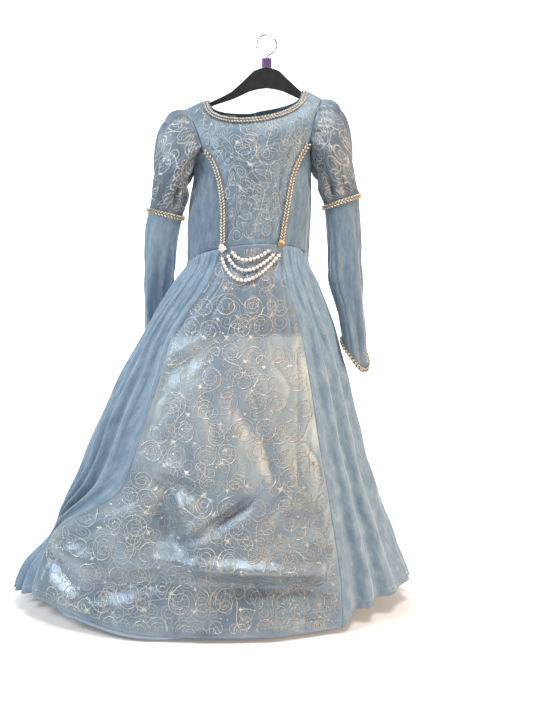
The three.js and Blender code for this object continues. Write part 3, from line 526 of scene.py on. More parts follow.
# Skirt: the seams beside the satin front (z, left x, right x), the hem's lift by angle, and
# the velour gathers (folds, depth at waist, depth at hem, sideways drift)
skirt = {
    "hemZ": -1120, "waistSideZ": -422, "frontRise": 34, "tilt": 8, "seamGap": 0.2, "waistGap": 0.1,
    "tuck": 0.9,
    "seams": [
        (-1125, -474, 148), (-1036, -461, 144), (-986, -445, 138), (-950, -418, 133),
        (-914, -366, 127), (-876, -307, 121), (-852, -280, 117), (-782, -251, 104),
        (-724, -232, 95), (-652, -207, 84), (-567, -183, 68), (-516, -152, 55),
        (-455, -110, 39), (-380, -82, 27),
    ],
    "hemLift": [
        (-180, 26), (-135, 28), (-100, 24), (-82, 18), (-66, 27), (-52, 36), (-38, 25), (-22, 7),
        (-8, 1), (37, 0), (41, 17), (60, 34), (78, 42), (92, 30), (130, 28), (180, 26),
    ],
    "panels": {
        "skirt_front": ("frontLeft", "frontRight"),
        "skirt_side_left": ("sideLeft", "frontLeft"),
        "skirt_side_right": ("frontRight", "sideRight"),
        "skirt_back_left": ("backLeft", "sideLeft"),
        "skirt_back_right": ("sideRight", "backRight"),
    },
    "gathers": {
        "skirt_side_left": (7, 2, 17, 0.22), "skirt_side_right": (6, 2, 15, -0.18),
        "skirt_back_left": (7, 2, 20, 0.3), "skirt_back_right": (7, 2, 20, -0.3),
        "bodice_side_left": (2, 1.5, 3, 0.1), "bodice_side_right": (2, 1.5, 3, -0.1),
    },
    # soft creases in the satin: across, down, to across, to down, width, depth
    "creases": [
        (0.06, 0.32, 0.36, 0.25, 0.06, 5), (0.4, 0.63, 0.47, 0.72, 0.07, 8),
        (0.47, 0.72, 0.66, 0.67, 0.07, 8), (0.3, 0.72, 0.52, 0.84, 0.06, 7),
        (0.28, 0.95, 0.95, 0.9, 0.06, 10), (0.6, 0.8, 0.98, 0.84, 0.05, 6),
    ],
}
hemLift = curveOf(skirt["hemLift"], 1)
seamX = {"left": curveOf(skirt["seams"], 1), "right": curveOf(skirt["seams"], 2)}
sideSeam = np.radians(112)
skirtLines = {
    "backLeft": lambda z: -np.pi + 0 * z,
    "sideLeft": lambda z: -sideSeam + 0 * z,
    "frontLeft": lambda z: angleAt(seamX["left"](z), z),
    "frontRight": lambda z: angleAt(seamX["right"](z), z),
    "sideRight": lambda z: sideSeam + 0 * z,
    "backRight": lambda z: np.pi + 0 * z,
}


def waistZ(angle):  # side level + rise max(0, cos a) + tilt sin a
    rise = skirt["frontRise"] * np.maximum(0, np.cos(angle))
    return skirt["waistSideZ"] + rise + skirt["tilt"] * np.sin(angle)


# Depth of the gathers: (top..bottom grown as down^0.8) (1 - cos(2 pi n u')) / 2, with u' the
# share across made uneven, uneven in strength, and faded out at the seams.
def gatherDepth(name, across, down):
    folds, top, bottom, drift = skirt["gathers"][name]
    uneven = across + 0.03 * np.sin(9 * across + 4 * drift) \
        + 0.4 * drift * across * (1 - across) * np.sin(2.2 * down)
    wave = 0.5 - 0.5 * np.cos(2 * np.pi * folds * uneven)
    strength = 0.74 + 0.26 * np.sin(11 * across + 3 * down + 20 * drift)
    fade = ease(across, 0, 0.07) * ease(1 - across, 0, 0.07)
    return mix(top, bottom, np.clip(down, 0, 1) ** 0.8) * wave * strength * fade


# Depth of strokes drawn on a panel: the sum of depth exp(-(distance / width)^2), each thinner
# at its ends.
def creaseDepth(creases, across, down):
    total = 0
    for fromX, fromY, toX, toY, width, depth in creases:
        runX, runY = toX - fromX, toY - fromY
        x, y = across - fromX, down - fromY
        along = np.clip((x * runX + y * runY) / (runX ** 2 + runY ** 2), 0, 1)
        off = np.hypot(x - along * runX, y - along * runY) / width
        total = total + depth * (0.35 + 0.65 * np.sin(np.pi * along)) * np.exp(-off ** 2)
    return total * ease(across, 0, 0.08) * ease(1 - across, 0, 0.08)


# Panel of the skirt: the angle runs evenly from its first seam to its second, the height from the
# waist to the hem, and its gathers or creases and the extra depth set it in.
def skirtFace(name, extra=None):
    first, second = (skirtLines[line] for line in skirt["panels"][name])

    def face(across, down):
        across, down = np.broadcast_arrays(across, down)
        level = mix(skirt["waistSideZ"], skirt["hemZ"], down)
        roughly = mix(first(level), second(level), across)
        foot = skirt["hemZ"] + hemLift(np.degrees(roughly))
        z = mix(waistZ(roughly) + 2 * skirt["tuck"], foot, down)
        gap = -skirt["seamGap"] / 2 / bodyFront(z)
        angle = mix(first(z) + gap, second(z) - gap, across)
        if name in skirt["gathers"]:
            inset = gatherDepth(name, across, down)
        else:
            inset = creaseDepth(skirt["creases"], across, down)
        if extra is not None:
            inset = inset + extra(across, down)
        return bodyPoint(angle, z, inset + skirt["tuck"] * (1 - ease(down, 0, 0.012)))

    return face


velourFolds = {"broad": (0.16, 2.6), "drawn": (0.2, 2.4), "deeper": 0.3, "pleats": 2.6, "pleatDepth": 1.5}


# Small uneven waves over the velour's folds, growing with the distance from the waist, and small
# pleats below the waist seam, between the gathers, (1 - cos) / 2 fading out downwards
def velourRipple(name, seed):
    size, depth = velourFolds["broad"]
    drawnSize, drawnDepth = velourFolds["drawn"]

    def depthAt(across, down):
        sidesFade = ease(across, 0, 0.05) * ease(1 - across, 0, 0.05)
        broad = depth * ripple(across * 0.6, down * 0.7, size, seed)
        drawn = drawnDepth * crumple(across, down * 0.3, drawnSize, seed + 1)
        pleat = 0.5 - 0.5 * np.cos(2 * np.pi * velourFolds["pleats"] * skirt["gathers"][name][0] * across)
        pleat = velourFolds["pleatDepth"] * pleat * (1 - ease(down, 0.03, 0.3))
        more = velourFolds["deeper"] * gatherDepth(name, across, down)
        return sidesFade * (ease(down, 0, 0.2) * (broad + drawn) + pleat + more)

    return depthAt


velourPanels = {
    "skirt_side_left": {"columns": 160, "rows": 80, "seed": 3},
    "skirt_side_right": {"columns": 140, "rows": 80, "seed": 5},
    "skirt_back_left": {"columns": 136, "rows": 64, "seed": 8},
    "skirt_back_right": {"columns": 136, "rows": 64, "seed": 13},
}
for name, grid in velourPanels.items():
    grid["face"] = skirtFace(name, velourRipple(name, grid["seed"]))
    sew(name + "_velour", name, grid["face"], -1, grid["columns"], grid["rows"], "velour", velour)
print("velour skirt panels made")

# Satin front: its sharper folds, in the same terms as the creases above, where a negative depth
# stands out, and the height of its soft ripples and crumples
satinFront = {
    "columns": 190, "rows": 180, "seed": 21, "ripple": 2.6, "crumple": 1.9, "deeper": 1.7,
    "folds": [
        (0.02, 0.33, 0.24, 0.29, 0.03, 5), (0.1, 0.27, 0.3, 0.235, 0.022, -4),
        (0.1, 0.6, 0.44, 0.64, 0.026, 10), (0.14, 0.565, 0.4, 0.595, 0.024, -6),
        (0.22, 0.645, 0.56, 0.8, 0.024, 15), (0.28, 0.63, 0.6, 0.765, 0.024, -9),
        (0.16, 0.7, 0.46, 0.83, 0.03, -8), (0.64, 0.65, 0.52, 0.75, 0.03, 10),
        (0.5, 0.8, 0.94, 0.845, 0.02, -11), (0.48, 0.865, 0.97, 0.905, 0.034, 14),
        (0.26, 0.935, 0.48, 0.865, 0.028, 11), (0.04, 0.83, 0.3, 0.87, 0.03, -8),
        (0.08, 0.9, 0.24, 0.945, 0.024, 7), (0.66, 0.48, 0.74, 0.62, 0.03, 6),
        (0.5, 0.4, 0.64, 0.5, 0.03, 5), (0.72, 0.955, 0.98, 0.975, 0.018, 6),
        (0.74, 0.72, 0.97, 0.7, 0.028, 6), (0.3, 0.36, 0.46, 0.52, 0.035, 4),
    ],
}


def satinRipple(across, down):  # faded ripples and crumples, and the folds times deeper
    fade = ease(across, 0, 0.04) * ease(1 - across, 0, 0.04) * ease(down, 0, 0.06)
    broad = satinFront["ripple"] * ripple(across, down * 0.8, 0.3, satinFront["seed"])
    small = satinFront["crumple"] * crumple(across * 0.8, down, 0.16, satinFront["seed"] + 1)
    return fade * (broad + small) + satinFront["deeper"] * creaseDepth(satinFront["folds"], across, down)


frontFace = skirtFace("skirt_front", satinRipple)
sew("skirt_front_satin", "skirt_front", frontFace, -1, satinFront["columns"], satinFront["rows"], "brocade",
    skirtSatin)

liningStrip = {"from": 2 / 24, "to": 15 / 24, "top": 0.95, "bottom": 1.011, "ends": 0.993, "behind": 1.8}
liningForm = lifted(frontFace, -1, -liningStrip["behind"])


# Lining below the hem: a part of the front, further in, whose lower edge rises towards both ends
def liningFace(u, v):
    bottom = mix(liningStrip["ends"], liningStrip["bottom"], ease(u, 0, 0.2) * ease(1 - u, 0, 0.35))
    return liningForm(mix(liningStrip["from"], liningStrip["to"], u), mix(liningStrip["top"], bottom, v))


sew("skirt_lining_strip", "skirt_lining", liningFace, -1, 160, 12, "lining", liningCloth)
print("satin front and lining made")

# Bodice: the front's side edges (rise, left x, right x), the neckline and the armholes
bodice = {
    "edges": [
        (0, -83, 27), (0.27, -82, 39), (0.43, -86, 47), (0.54, -93, 56), (0.62, -102, 67),
        (0.72, -121, 82), (0.8, -128, 86), (0.9, -139, 94), (1, -157, 106),
    ],
    "notch": 0.72, "underarm": {"left": -256, "right": -250},
    "neckX": {"left": -110, "right": 68, "centre": -22}, "frontDrop": 52, "backDrop": 31,
    "shoulderShare": 0.34,
}
edgeX = {"left": curveOf(bodice["edges"], 1), "right": curveOf(bodice["edges"], 2)}


# Side edge of the bodice front at a share of its rise, moved sideways by a distance
def bodiceEdge(which, rise, shift):
    footZ = waistZ(angleAt(edgeX[which](0), skirt["waistSideZ"])) + skirt["waistGap"] / 2
    z = mix(footZ, shoulderZ(edgeX[which](1)), rise)
    return np.stack([angleAt(edgeX[which](rise) + sides[which] * shift, z), z])


# Armhole below the princess seam: the angle runs evenly to the side, the height falls as
# (s + sin(pi s / 2)) / 2
def lowerArmhole(which, share):
    angle, z = bodiceEdge(which, bodice["notch"], skirt["seamGap"] / 2)
    fall = (share + np.sin(np.pi / 2 * share)) / 2
    return np.stack([mix(angle, sides[which] * np.pi / 2, share), mix(z, bodice["underarm"][which], fall)])


def armhole(which, share):  # 0 at the shoulder tip, 1 at the underarm
    upper = bodiceEdge(which, mix(1, bodice["notch"], np.minimum(2 * share, 1)), 0)
    return np.where(share < 0.5, upper, lowerArmhole(which, np.maximum(2 * share - 1, 0)))


# Top edge from the shoulder tip to the middle of the neckline:
# x = neck + (middle - neck)(1 - cos t), z = shoulder - drop sin(t)^0.8
def topEdge(which, share, drop):
    neckX, middleX = bodice["neckX"][which], bodice["neckX"]["centre"]
    turn = np.pi / 2 * np.clip((share - bodice["shoulderShare"]) / (1 - bodice["shoulderShare"]), 0, 1)
    shoulderX = mix(edgeX[which](1), neckX, np.minimum(share / bodice["shoulderShare"], 1))
    onShoulder = share <= bodice["shoulderShare"]
    x = np.where(onShoulder, shoulderX, mix(neckX, middleX, 1 - np.cos(turn)))
    z = shoulderZ(x) - np.where(onShoulder, 0, drop * np.sin(turn) ** 0.8)
    return np.stack([angleAt(x, z), z])


# A panel between four edges: the two straight blends added, less the blend of the corners
def patch(bottom, top, start, end):
    def inside(u, v):
        u, v = np.broadcast_arrays(u, v)
        level = mix(bottom(u), top(u), v)
        upright = mix(start(v), end(v), u)
        zero, one = np.zeros_like(u), np.ones_like(u)
        corners = mix(mix(bottom(zero), bottom(one), u), mix(top(zero), top(one), u), v)
        return level + upright - corners

    return inside


def waistEdge(fromAngle, toAngle):  # the angle runs evenly, on the waist's height plus half its gap
    def edge(u):
        angle = mix(fromAngle, toAngle, u)
        return np.stack([angle, waistZ(angle) + skirt["waistGap"] / 2])

    return edge


# Fine level crumples of the bodice front: ripples drawn out sideways, faded at the edges
def bodiceCrumple(u, v):
    fade = ease(u, 0, 0.06) * ease(1 - u, 0, 0.06) * ease(v, 0, 0.04) * ease(0.86 - v, 0, 0.1)
    low = 1.1 - 0.7 * v
    return fade * low * (2.4 * crumple(u * 0.35, v, 0.13, 31) + 1.3 * crumple(u * 0.5, v, 0.06, 33))


# Bodice front: a patch between the waist, both side edges and the shoulders with the neckline
def bodiceFrontFace():
    start = lambda v: bodiceEdge("left", v, -skirt["seamGap"] / 2)
    end = lambda v: bodiceEdge("right", v, -skirt["seamGap"] / 2)

    def top(u):
        left = topEdge("left", np.minimum(2 * u, 1), bodice["frontDrop"])
        right = topEdge("right", np.minimum(2 - 2 * u, 1), bodice["frontDrop"])
        return np.where(u < 0.5, left, right)

    inside = patch(waistEdge(start(np.zeros(1))[0, 0], end(np.zeros(1))[0, 0]), top, start, end)

    def face(u, v):
        angle, z = inside(u, v)
        inset = bodiceCrumple(u, v) + skirt["tuck"] * (1 - ease(v, 0, 0.02))
        return bodyPoint(angle, z, inset, -skirt["seamGap"] / 2)

    return face


def denser(points, times):  # each step of an uneven grid split into equal smaller ones
    steps = [np.linspace(a, b, times, endpoint=False) for a, b in zip(points[:-1], points[1:])]
    return np.append(np.concatenate(steps), points[-1])


bodiceRows = np.array([0, 0.13, 0.26, 0.38, 0.48, 0.57, 0.65, 0.72, 0.78, 0.84, 0.9, 0.95, 0.983, 1])
halfShoulder = bodice["shoulderShare"] / 2
frontColumns = np.concatenate([
    np.linspace(0, halfShoulder, 15)[:-1], np.linspace(halfShoulder, 1 - halfShoulder, 77)[:-1],
    np.linspace(1 - halfShoulder, 1, 15),
])
bodiceFace = bodiceFrontFace()
sew("bodice_front_satin", "bodice_front", bodiceFace, 1, frontColumns, denser(bodiceRows, 8), "brocade",
    satin)


# Bodice side: a patch from the front's edge to the side, between the waist and the lower armhole
def bodiceSideFace(which):
    sideAngle = sides[which] * np.pi / 2
    start = lambda v: bodiceEdge(which, v * bodice["notch"], skirt["seamGap"] / 2)
    foot = waistZ(sideAngle) + skirt["waistGap"] / 2

    def end(v):
        return np.stack([sideAngle + 0 * v, mix(foot, bodice["underarm"][which], v)])

    waist = waistEdge(start(np.zeros(1))[0, 0], sideAngle)
    inside = patch(waist, lambda u: lowerArmhole(which, u), start, end)

    def face(u, v):
        angle, z = inside(u, v)
        fade = ease(u, 0, 0.1) * ease(1 - u, 0, 0.1)
        inset = gatherDepth(f"bodice_side_{which}", u, 1 - v)
        inset = inset + fade * (1.4 * ripple(u * 0.5, v, 0.2, 41) + 2.2 * crumple(u, v * 0.3, 0.4, 43))
        return bodyPoint(angle, z, inset + skirt["tuck"] * (1 - ease(v, 0, 0.02)), -skirt["seamGap"] / 2)

    return face


# Bodice back: a patch from the side and the armhole, turned to the back as 180 degrees less the
# front's angle, to the centre seam
def bodiceBackFace(which):
    sign = sides[which]
    sideAngle = sign * np.pi / 2
    centreAngle = sign * (np.pi - skirt["seamGap"] / 2 / halfWidth(skirt["waistSideZ"]))
    foot = waistZ(sideAngle) + skirt["waistGap"] / 2
    centreFoot = waistZ(centreAngle) + skirt["waistGap"] / 2
    centreTop = topEdge(which, np.ones(1), bodice["backDrop"])[1, 0]

    def top(u):
        angle, z = topEdge(which, u, bodice["backDrop"])
        return np.stack([mix(sign * np.pi - angle, centreAngle, u ** 8), z])

    def start(v):
        rise = np.minimum(v / bodice["notch"], 1)
        seam = np.stack([sideAngle + 0 * v, mix(foot, bodice["underarm"][which], rise)])
        angle, z = armhole(which, np.clip((1 - v) / (1 - bodice["notch"]), 0, 1))
        return np.where(v <= bodice["notch"], seam, np.stack([sign * np.pi - angle, z]))

    def end(v):
        return np.stack([centreAngle + 0 * v, mix(centreFoot, centreTop, v)])

    inside = patch(waistEdge(sideAngle, centreAngle), top, start, end)

    def face(u, v):
        angle, z = inside(u, v)
        fade = ease(u, 0, 0.08) * ease(1 - u, 0, 0.08) * ease(v, 0, 0.05) * ease(0.9 - v, 0, 0.1)
        return bodyPoint(angle, z, 1.2 * fade * ripple(u * 0.8, v, 0.25, 51 + sign), skirt["seamGap"] / 2)

    return face


backColumns = np.concatenate([np.linspace(0, bodice["shoulderShare"], 21)[:-1],
                              np.linspace(bodice["shoulderShare"], 1, 41)])
for which, sign in sides.items():
    node = f"bodice_side_{which}"
    sew(node + "_velour", node, bodiceSideFace(which), sign, 50, 80, "velour", paintedShadeVelour)
    node = f"bodice_back_{which}"
    sew(node + "_velour", node, bodiceBackFace(which), sign, backColumns, denser(bodiceRows, 5), "velour",
        velour)
print("bodice made")

# Sleeves: sections (z, x, y, half width, half depth), the slanted band and the pointed cuff
sleeves = {
    "left": {
        "sections": [
            (-642, -240, 114, 24, 19), (-571, -235, 96, 29, 22), (-500, -227, 60, 32, 24),
            (-448, -219, 32, 34, 25), (-400, -212, 13, 34, 26), (-353, -204, 4, 36, 27),
            (-315, -195, 0, 34, 27),
        ],
        "bandZ": -325, "bandSlope": 0.23,
    },
    "right": {
        "sections": [
            (-642, 181, -16, 24, 19), (-578, 177, -14, 26, 22), (-514, 168, -11, 30, 24),
            (-446, 157, -7, 38, 26), (-400, 155, -4, 36, 27), (-353, 151, -1, 36, 27),
            (-300, 147, 0, 35, 27),
        ],
        "bandZ": -301, "bandSlope": 0.35,
    },
    "folds": 5, "foldDepth": 4.6, "foldDrift": 2.5,
    "cuffInner": -580, "cuffDrop": 61, "cuffTurn": 50, "cuffSharp": 1.5,
    "puffFolds": 10, "fullness": 1.08, "seamFold": 0.7, "deepFold": 4.5, "foldReach": 0.15,
    "fineFold": 1.6, "crush": 6.5, "drag": 4, "pleats": (6, 4.5, 5),
}
sleeveCurves = {which: [curveOf(sleeves[which]["sections"], k) for k in (1, 2, 3, 4)] for which in sides}


def sleeveForm(which, angle, z, inset=0.0):  # an ellipse at each level, 0 on its outer side
    x, y, wide, deep = (curve(z) for curve in sleeveCurves[which])
    angle, z = np.broadcast_arrays(angle, z)
    x = x + sides[which] * (wide - inset) * np.cos(angle)
    return np.stack([x, y - (deep - inset) * np.sin(angle), z], -1)


def bandZ(which, angle):  # level + slope times half width times cos a
    level = sleeves[which]["bandZ"]
    return level + sleeves[which]["bandSlope"] * sleeveCurves[which][2](level) * np.cos(angle)


def cuffZ(angle):  # inner level - drop ((1 + cos(a - turn)) / 2)^sharp
    near = (1 + np.cos(angle - np.radians(sleeves["cuffTurn"]))) / 2
    return sleeves["cuffInner"] - sleeves["cuffDrop"] * near ** sleeves["cuffSharp"]


# Whole armhole: down its front edge, and back up behind at 180 degrees less the same angles
def armholeSeam(which, around):
    share = np.mod(around, 1)
    angle, z = armhole(which, np.where(share < 0.5, 2 * share, 2 - 2 * share))
    return bodyPoint(np.where(share < 0.5, angle, sides[which] * np.pi - angle), z)


# Puff: cubics from the armhole to the band, leaving outwards and arriving downwards
def puffForm(which):
    sign = sides[which]

    def face(around, down):
        around, t = np.broadcast_arrays(around, down)
        angle = 2 * np.pi * around
        sin, cos = np.sin(angle), np.cos(angle)
        start = armholeSeam(which, around)
        middleZ = (armholeSeam(which, np.zeros(1))[0, 2] + bodice["underarm"][which]) / 2
        fromMiddle = unit(np.stack([0 * cos, start[..., 1], start[..., 2] - middleZ], -1))
        start[..., 0] += sign * skirt["seamGap"]
        end = sleeveForm(which, angle, bandZ(which, angle) + skirt["seamGap"] / 2)
        length = sleeves["fullness"] * np.linalg.norm(end - start, axis=-1, keepdims=True)
        leave = np.stack([sign * (0.68 + 0.32 * cos), 0 * cos, 0 * cos], -1)
        leave += fromMiddle * (0.575 - 0.425 * cos + 0.2 * sin ** 2)[..., None]
        inwards = 0.36 - 0.24 * cos + 0.24 * sin ** 2
        sideways = sign * (sleeves[which]["bandSlope"] - inwards * cos)
        arrive = np.stack([sideways, inwards * sin, 0 * cos - 1], -1)
        return cubic(start, end, length * unit(leave), length * unit(arrive), t[..., None])

    return face


# Gathers of a puff: deepest a little way from each seam, with finer creases between them
def puffDepth(around, down):
    fromSeam = np.clip(np.minimum(down, 1 - down), 0, 1)
    gather = fromSeam / sleeves["foldReach"] * np.exp(1 - fromSeam / sleeves["foldReach"])
    turn = 2 * np.pi * (sleeves["puffFolds"] * around + 0.25 * np.sin(2 * np.pi * around) + 0.2 * down)
    broad = (sleeves["seamFold"] + sleeves["deepFold"] * gather) * (0.5 - 0.5 * np.cos(turn))
    fine = sleeves["fineFold"] * gather * (0.5 - 0.5 * np.cos(2 * turn - 1.2 * np.sin(turn) + 4 * down))
    x, y = np.cos(2 * np.pi * around), np.sin(2 * np.pi * around)
    crush = crumple(x + 0.5 * down, y + 1.1 * down, 1.7, 61) + 0.5 * crumple(x - down, y + down, 0.8, 63)
    return broad + fine + sleeves["crush"] * np.clip(5 * fromSeam, 0, 1) * crush


# Sleeve: the ellipse from the band down to the cuff, set in by wide folds (1 - cos) / 2, by drag
# crumples and by narrow pleats ((1 + cos) / 2)^sharp, all fading out at both ends
def sleeveFace(which):
    def face(around, down):
        around, down = np.broadcast_arrays(around, down)
        angle = 2 * np.pi * around
        z = mix(bandZ(which, angle) - skirt["seamGap"] / 2, cuffZ(angle), down)
        wave = 0.5 - 0.5 * np.cos(sleeves["folds"] * angle + sleeves["foldDrift"] * down)
        share = np.clip(4 * down * (1 - down), 0, 1)
        drag = sleeves["drag"] * share * crumple(np.cos(angle) + down, np.sin(angle) + 3 * down, 1.9, 71)
        count, depth, sharp = sleeves["pleats"]
        turn = count * angle + 1.4 * np.sin(2.4 * down + 2 * angle)
        uneven = 0.65 + 0.35 * np.sin(3 * angle + 4 * down)
        pleat = depth * share ** 0.5 * (0.5 + 0.5 * np.cos(turn)) ** sharp * uneven
        return sleeveForm(which, angle, z, sleeves["foldDepth"] * wave * share + drag + pleat)

    return face


puffFaces = {}
for which, sign in sides.items():
    puffFaces[which] = lifted(puffForm(which), sign, lambda u, v: -puffDepth(u, v))
    sew(f"puff_{which}_satin", f"puff_{which}", puffFaces[which], sign, 190, 62, "brocade", puffPaintedShadeSatin,
        tube=True)
    # the right sleeve gets the darker velour as painted shade, the left one the plain velour
    sew(f"sleeve_{which}_velour", f"sleeve_{which}", sleeveFace(which), sign, 90, 80, "velour",
        velour if which == "left" else paintedShadeVelour, tube=True)
print("sleeves made")

# Braid: two rows of slanting plaited loops on a narrow tape, dark as painted shade between the loops
braid = {
    "width": 10, "lift": 0.8, "tape": 0.9, "margin": 0.08, "link": 5.4, "slant": 38,
    "loop": (3.3, 1.7, 1.9), "rows": (0.25, 0.75), "stand": 1.3,
}


# A tape, and eggs in two rows along it, turned by slant in one row and by -slant in the other
def braidPiece(name, face, turn, length, tube, material):
    def tapeFace(share, across):
        return face(share, mix(braid["margin"], 1 - braid["margin"], across))

    surface = lifted(tapeFace, turn, braid["lift"] + braid["tape"])
    tape, _, _ = cloth(f"{name}_tape", surface, turn, int(length / 3), 4, braid["tape"], tube=tube)
    # the tape's dark colour is painted shade between the loops
    place(tape, paintedShadeTape, [name])
    count = int(length / braid["link"])
    share, row = np.meshgrid((np.arange(count) + 0.3) / count, [0, 1])
    share = share + 0.4 * row / count
    across = np.where(row == 0, *braid["rows"])
    axes = eggAxes(face, turn, share, across, np.radians(braid["slant"]) * np.where(row == 0, 1, -1))
    centres = face(share, across) + axes[..., 2, :] * (braid["lift"] + braid["tape"] + braid["stand"])
    centres, axes = centres.reshape(-1, 3), axes.reshape(-1, 3, 3)
    loops = ballPiece(f"{name}_loops", centres, np.tile(braid["loop"], (len(centres), 1)), axes, 12, 7)
    place(loops, material)


# Strip along a line of the front: the line moved square to itself, by near to far
def frontStrip(line, near, far):
    def face(share, across):
        share, across = np.broadcast_arrays(share, across)
        x, z = line(share)
        aheadX, aheadZ = line(share + 1e-3)
        beforeX, beforeZ = line(share - 1e-3)
        squareX, squareZ = aheadZ - beforeZ, beforeX - aheadX
        length = np.hypot(squareX, squareZ)
        off = mix(near, far, across)
        x = x + off * squareX / length
        z = np.minimum(z + off * squareZ / length, shoulderZ(x) - 4)
        return bodyPoint(angleAt(x, z), z, 0, -skirt["seamGap"] / 2)

    return face


def neckLine(share):  # the neckline of topEdge, from its left end to its right end
    turn = np.pi * mix(0.02, 0.98, share)
    left, right, middle = (bodice["neckX"][key] for key in ("left", "right", "centre"))
    x = np.where(turn < np.pi / 2, mix(left, middle, 1 - np.cos(turn)), mix(right, middle, 1 + np.cos(turn)))
    return x, shoulderZ(x) - bodice["frontDrop"] * np.sin(turn) ** 0.8


def princessLine(which):  # the front's side edge, from just above the waist to just below the notch
    foot = waistZ(angleAt(edgeX[which](0), skirt["waistSideZ"]))

    def line(share):
        rise = mix(0.025, bodice["notch"] - 0.03, share)
        return edgeX[which](rise), mix(foot, shoulderZ(edgeX[which](1)), rise)

    return line


braidPiece("neck_braid", frontStrip(neckLine, 0.4, braid["width"]), -1, 250, False, silverBraid)
for which, sign in sides.items():
    tone = silverBraid if which == "left" else goldBraid
    half = braid["width"] / 2
    braidPiece(f"princess_braid_{which}", frontStrip(princessLine(which), -half, half), -1, 175, False, tone)

    def bandFace(around, down, which=which):
        angle = 2 * np.pi * around
        return sleeveForm(which, angle, bandZ(which, angle) - braid["width"] * down)

    def cuffFace(around, down, which=which):
        length = sleeves[which]["bandZ"] - cuffZ(2 * np.pi * around)
        return sleeveFace(which)(around, 1 - braid["width"] * (1 - down) / length)

    braidPiece(f"band_braid_{which}", bandFace, sign, 197, True, goldBraid)
    braidPiece(f"cuff_braid_{which}", cuffFace, sign, 190, True, goldBraid)
print("braids made")

# Stitches: thin eggs laid end to end along a level of each skirt panel, above the hem
stitch = {"pitch": 4.2, "size": (1.5, 0.32, 0.32), "level": 0.978, "lift": 0.25}
stitchFaces = {name: grid["face"] for name, grid in velourPanels.items()}
stitchFaces["skirt_front"] = frontFace
for name, face in stitchFaces.items():
    fine = face(np.linspace(0.01, 0.99, 400), stitch["level"])
    count = int(np.linalg.norm(np.diff(fine, axis=0), axis=1).sum() / stitch["pitch"])
    share, level = np.linspace(0.01, 0.99, count), np.full(count, stitch["level"])
    axes = eggAxes(face, -1, share, level)
    sewn = ballPiece(f"{name}_stitches", face(share, level) + stitch["lift"] * axes[:, 2],
                     np.tile(stitch["size"], (count, 1)), axes, 6, 5)
    place(sewn, threadFibre)
print("hem stitched")

# Glitter print, drawn flat in millimetres: x across from a panel's middle line, y down from its
# top. Each scroll is a coil that opens into a second, smaller coil turning the other way.
glitterPrint = {
    "pitch": (50, 47), "length": (150, 330), "eye": 2.5, "coil": 1.35, "share": 0.68,
    "line": 1.05, "ridge": 0.45, "edge": 0.12, "stepsAlong": 90, "shadow": (0.75, 0.85), "shadowRidge": 0.25,
    "star": (5.5, 10.5), "flake": (1.0, 2.2), "flakeTilt": 0.6, "dot": 2.4,
}


# Scrolls: curvature 1 / sqrt(r^2 + 2 b s) falls along each coil, with s the length from its eye,
# so that its turns lie evenly; the line is the running sum of its heading.
def scrollLines(starts, pick, size):
    count, steps = len(starts), glitterPrint["stepsAlong"]
    length = pick.uniform(*glitterPrint["length"], count)[:, None] * size
    s = np.linspace(0, 1, steps)[None]
    hand = pick.choice([-1, 1], count)[:, None]
    reach, eye = 2 * glitterPrint["coil"] * size * length, (glitterPrint["eye"] * size) ** 2
    first, second = 1 / np.sqrt(eye + reach * s), 1 / np.sqrt(eye + reach * (1 - s))
    over = ease(s, glitterPrint["share"] - 0.12, glitterPrint["share"] + 0.12)
    heading = pick.uniform(0, 2 * np.pi, count)[:, None] \
        + np.cumsum(hand * mix(first, -second, over), 1) * length / steps
    step = np.stack([np.cos(heading), np.sin(heading)], -1) * (length / steps)[..., None]
    return starts[:, None] + np.cumsum(step, 1), heading


# Lays flat points on a panel through its locate function and moves them out along the cloth's
# normal. The mask tells which points fall on the panel.
def layOn(face, turn, locate, flat, out, margin):
    across, down = locate(flat[..., 0], flat[..., 1])
    inside = (across > margin) & (across < 1 - margin) & (down > margin) & (down < 1 - margin)
    across, down = np.clip(across, 0.002, 0.998), np.clip(down, 0.002, 0.998)
    return face(across, down) + normalOf(face, turn, across, down) * out[..., None], inside


# A panel's flat size, and its locate function: down = y / length, across = 1 / 2 + x / width
def flatPanel(face):
    downs = np.linspace(0.005, 0.995, 30)
    u, v = np.meshgrid(np.linspace(0.005, 0.995, 60), downs)
    points = face(u, v)
    widths = np.linalg.norm(np.diff(points, axis=1), axis=-1).sum(1)
    tall = np.linalg.norm(np.diff(points[:, 30], axis=0), axis=-1).sum()

    def locate(x, y):
        return 0.5 + x / np.interp(y / tall, downs, widths), y / tall

    return (-widths.max() / 2, widths.max() / 2, 0, tall), locate


# The same for the skirt's front, seen from the front: x and z give the angle, and the shares
# across and down are those of the angle and of z between the panel's edges.
def flatSkirt():
    middle = bodice["neckX"]["centre"]

    def locate(x, y):
        z = skirt["waistSideZ"] + skirt["frontRise"] - y
        angle = angleAt(x + middle, z)
        first, second = (skirtLines[line](z) for line in skirt["panels"]["skirt_front"])
        foot, top = skirt["hemZ"] + hemLift(np.degrees(angle)), waistZ(angle)
        return (angle - first) / (second - first), (top - z) / (top - foot)

    left, right = (seamX[which](skirt["hemZ"]) - middle for which in sides)
    return (left, right, 0, skirt["waistSideZ"] + skirt["frontRise"] - skirt["hemZ"]), locate


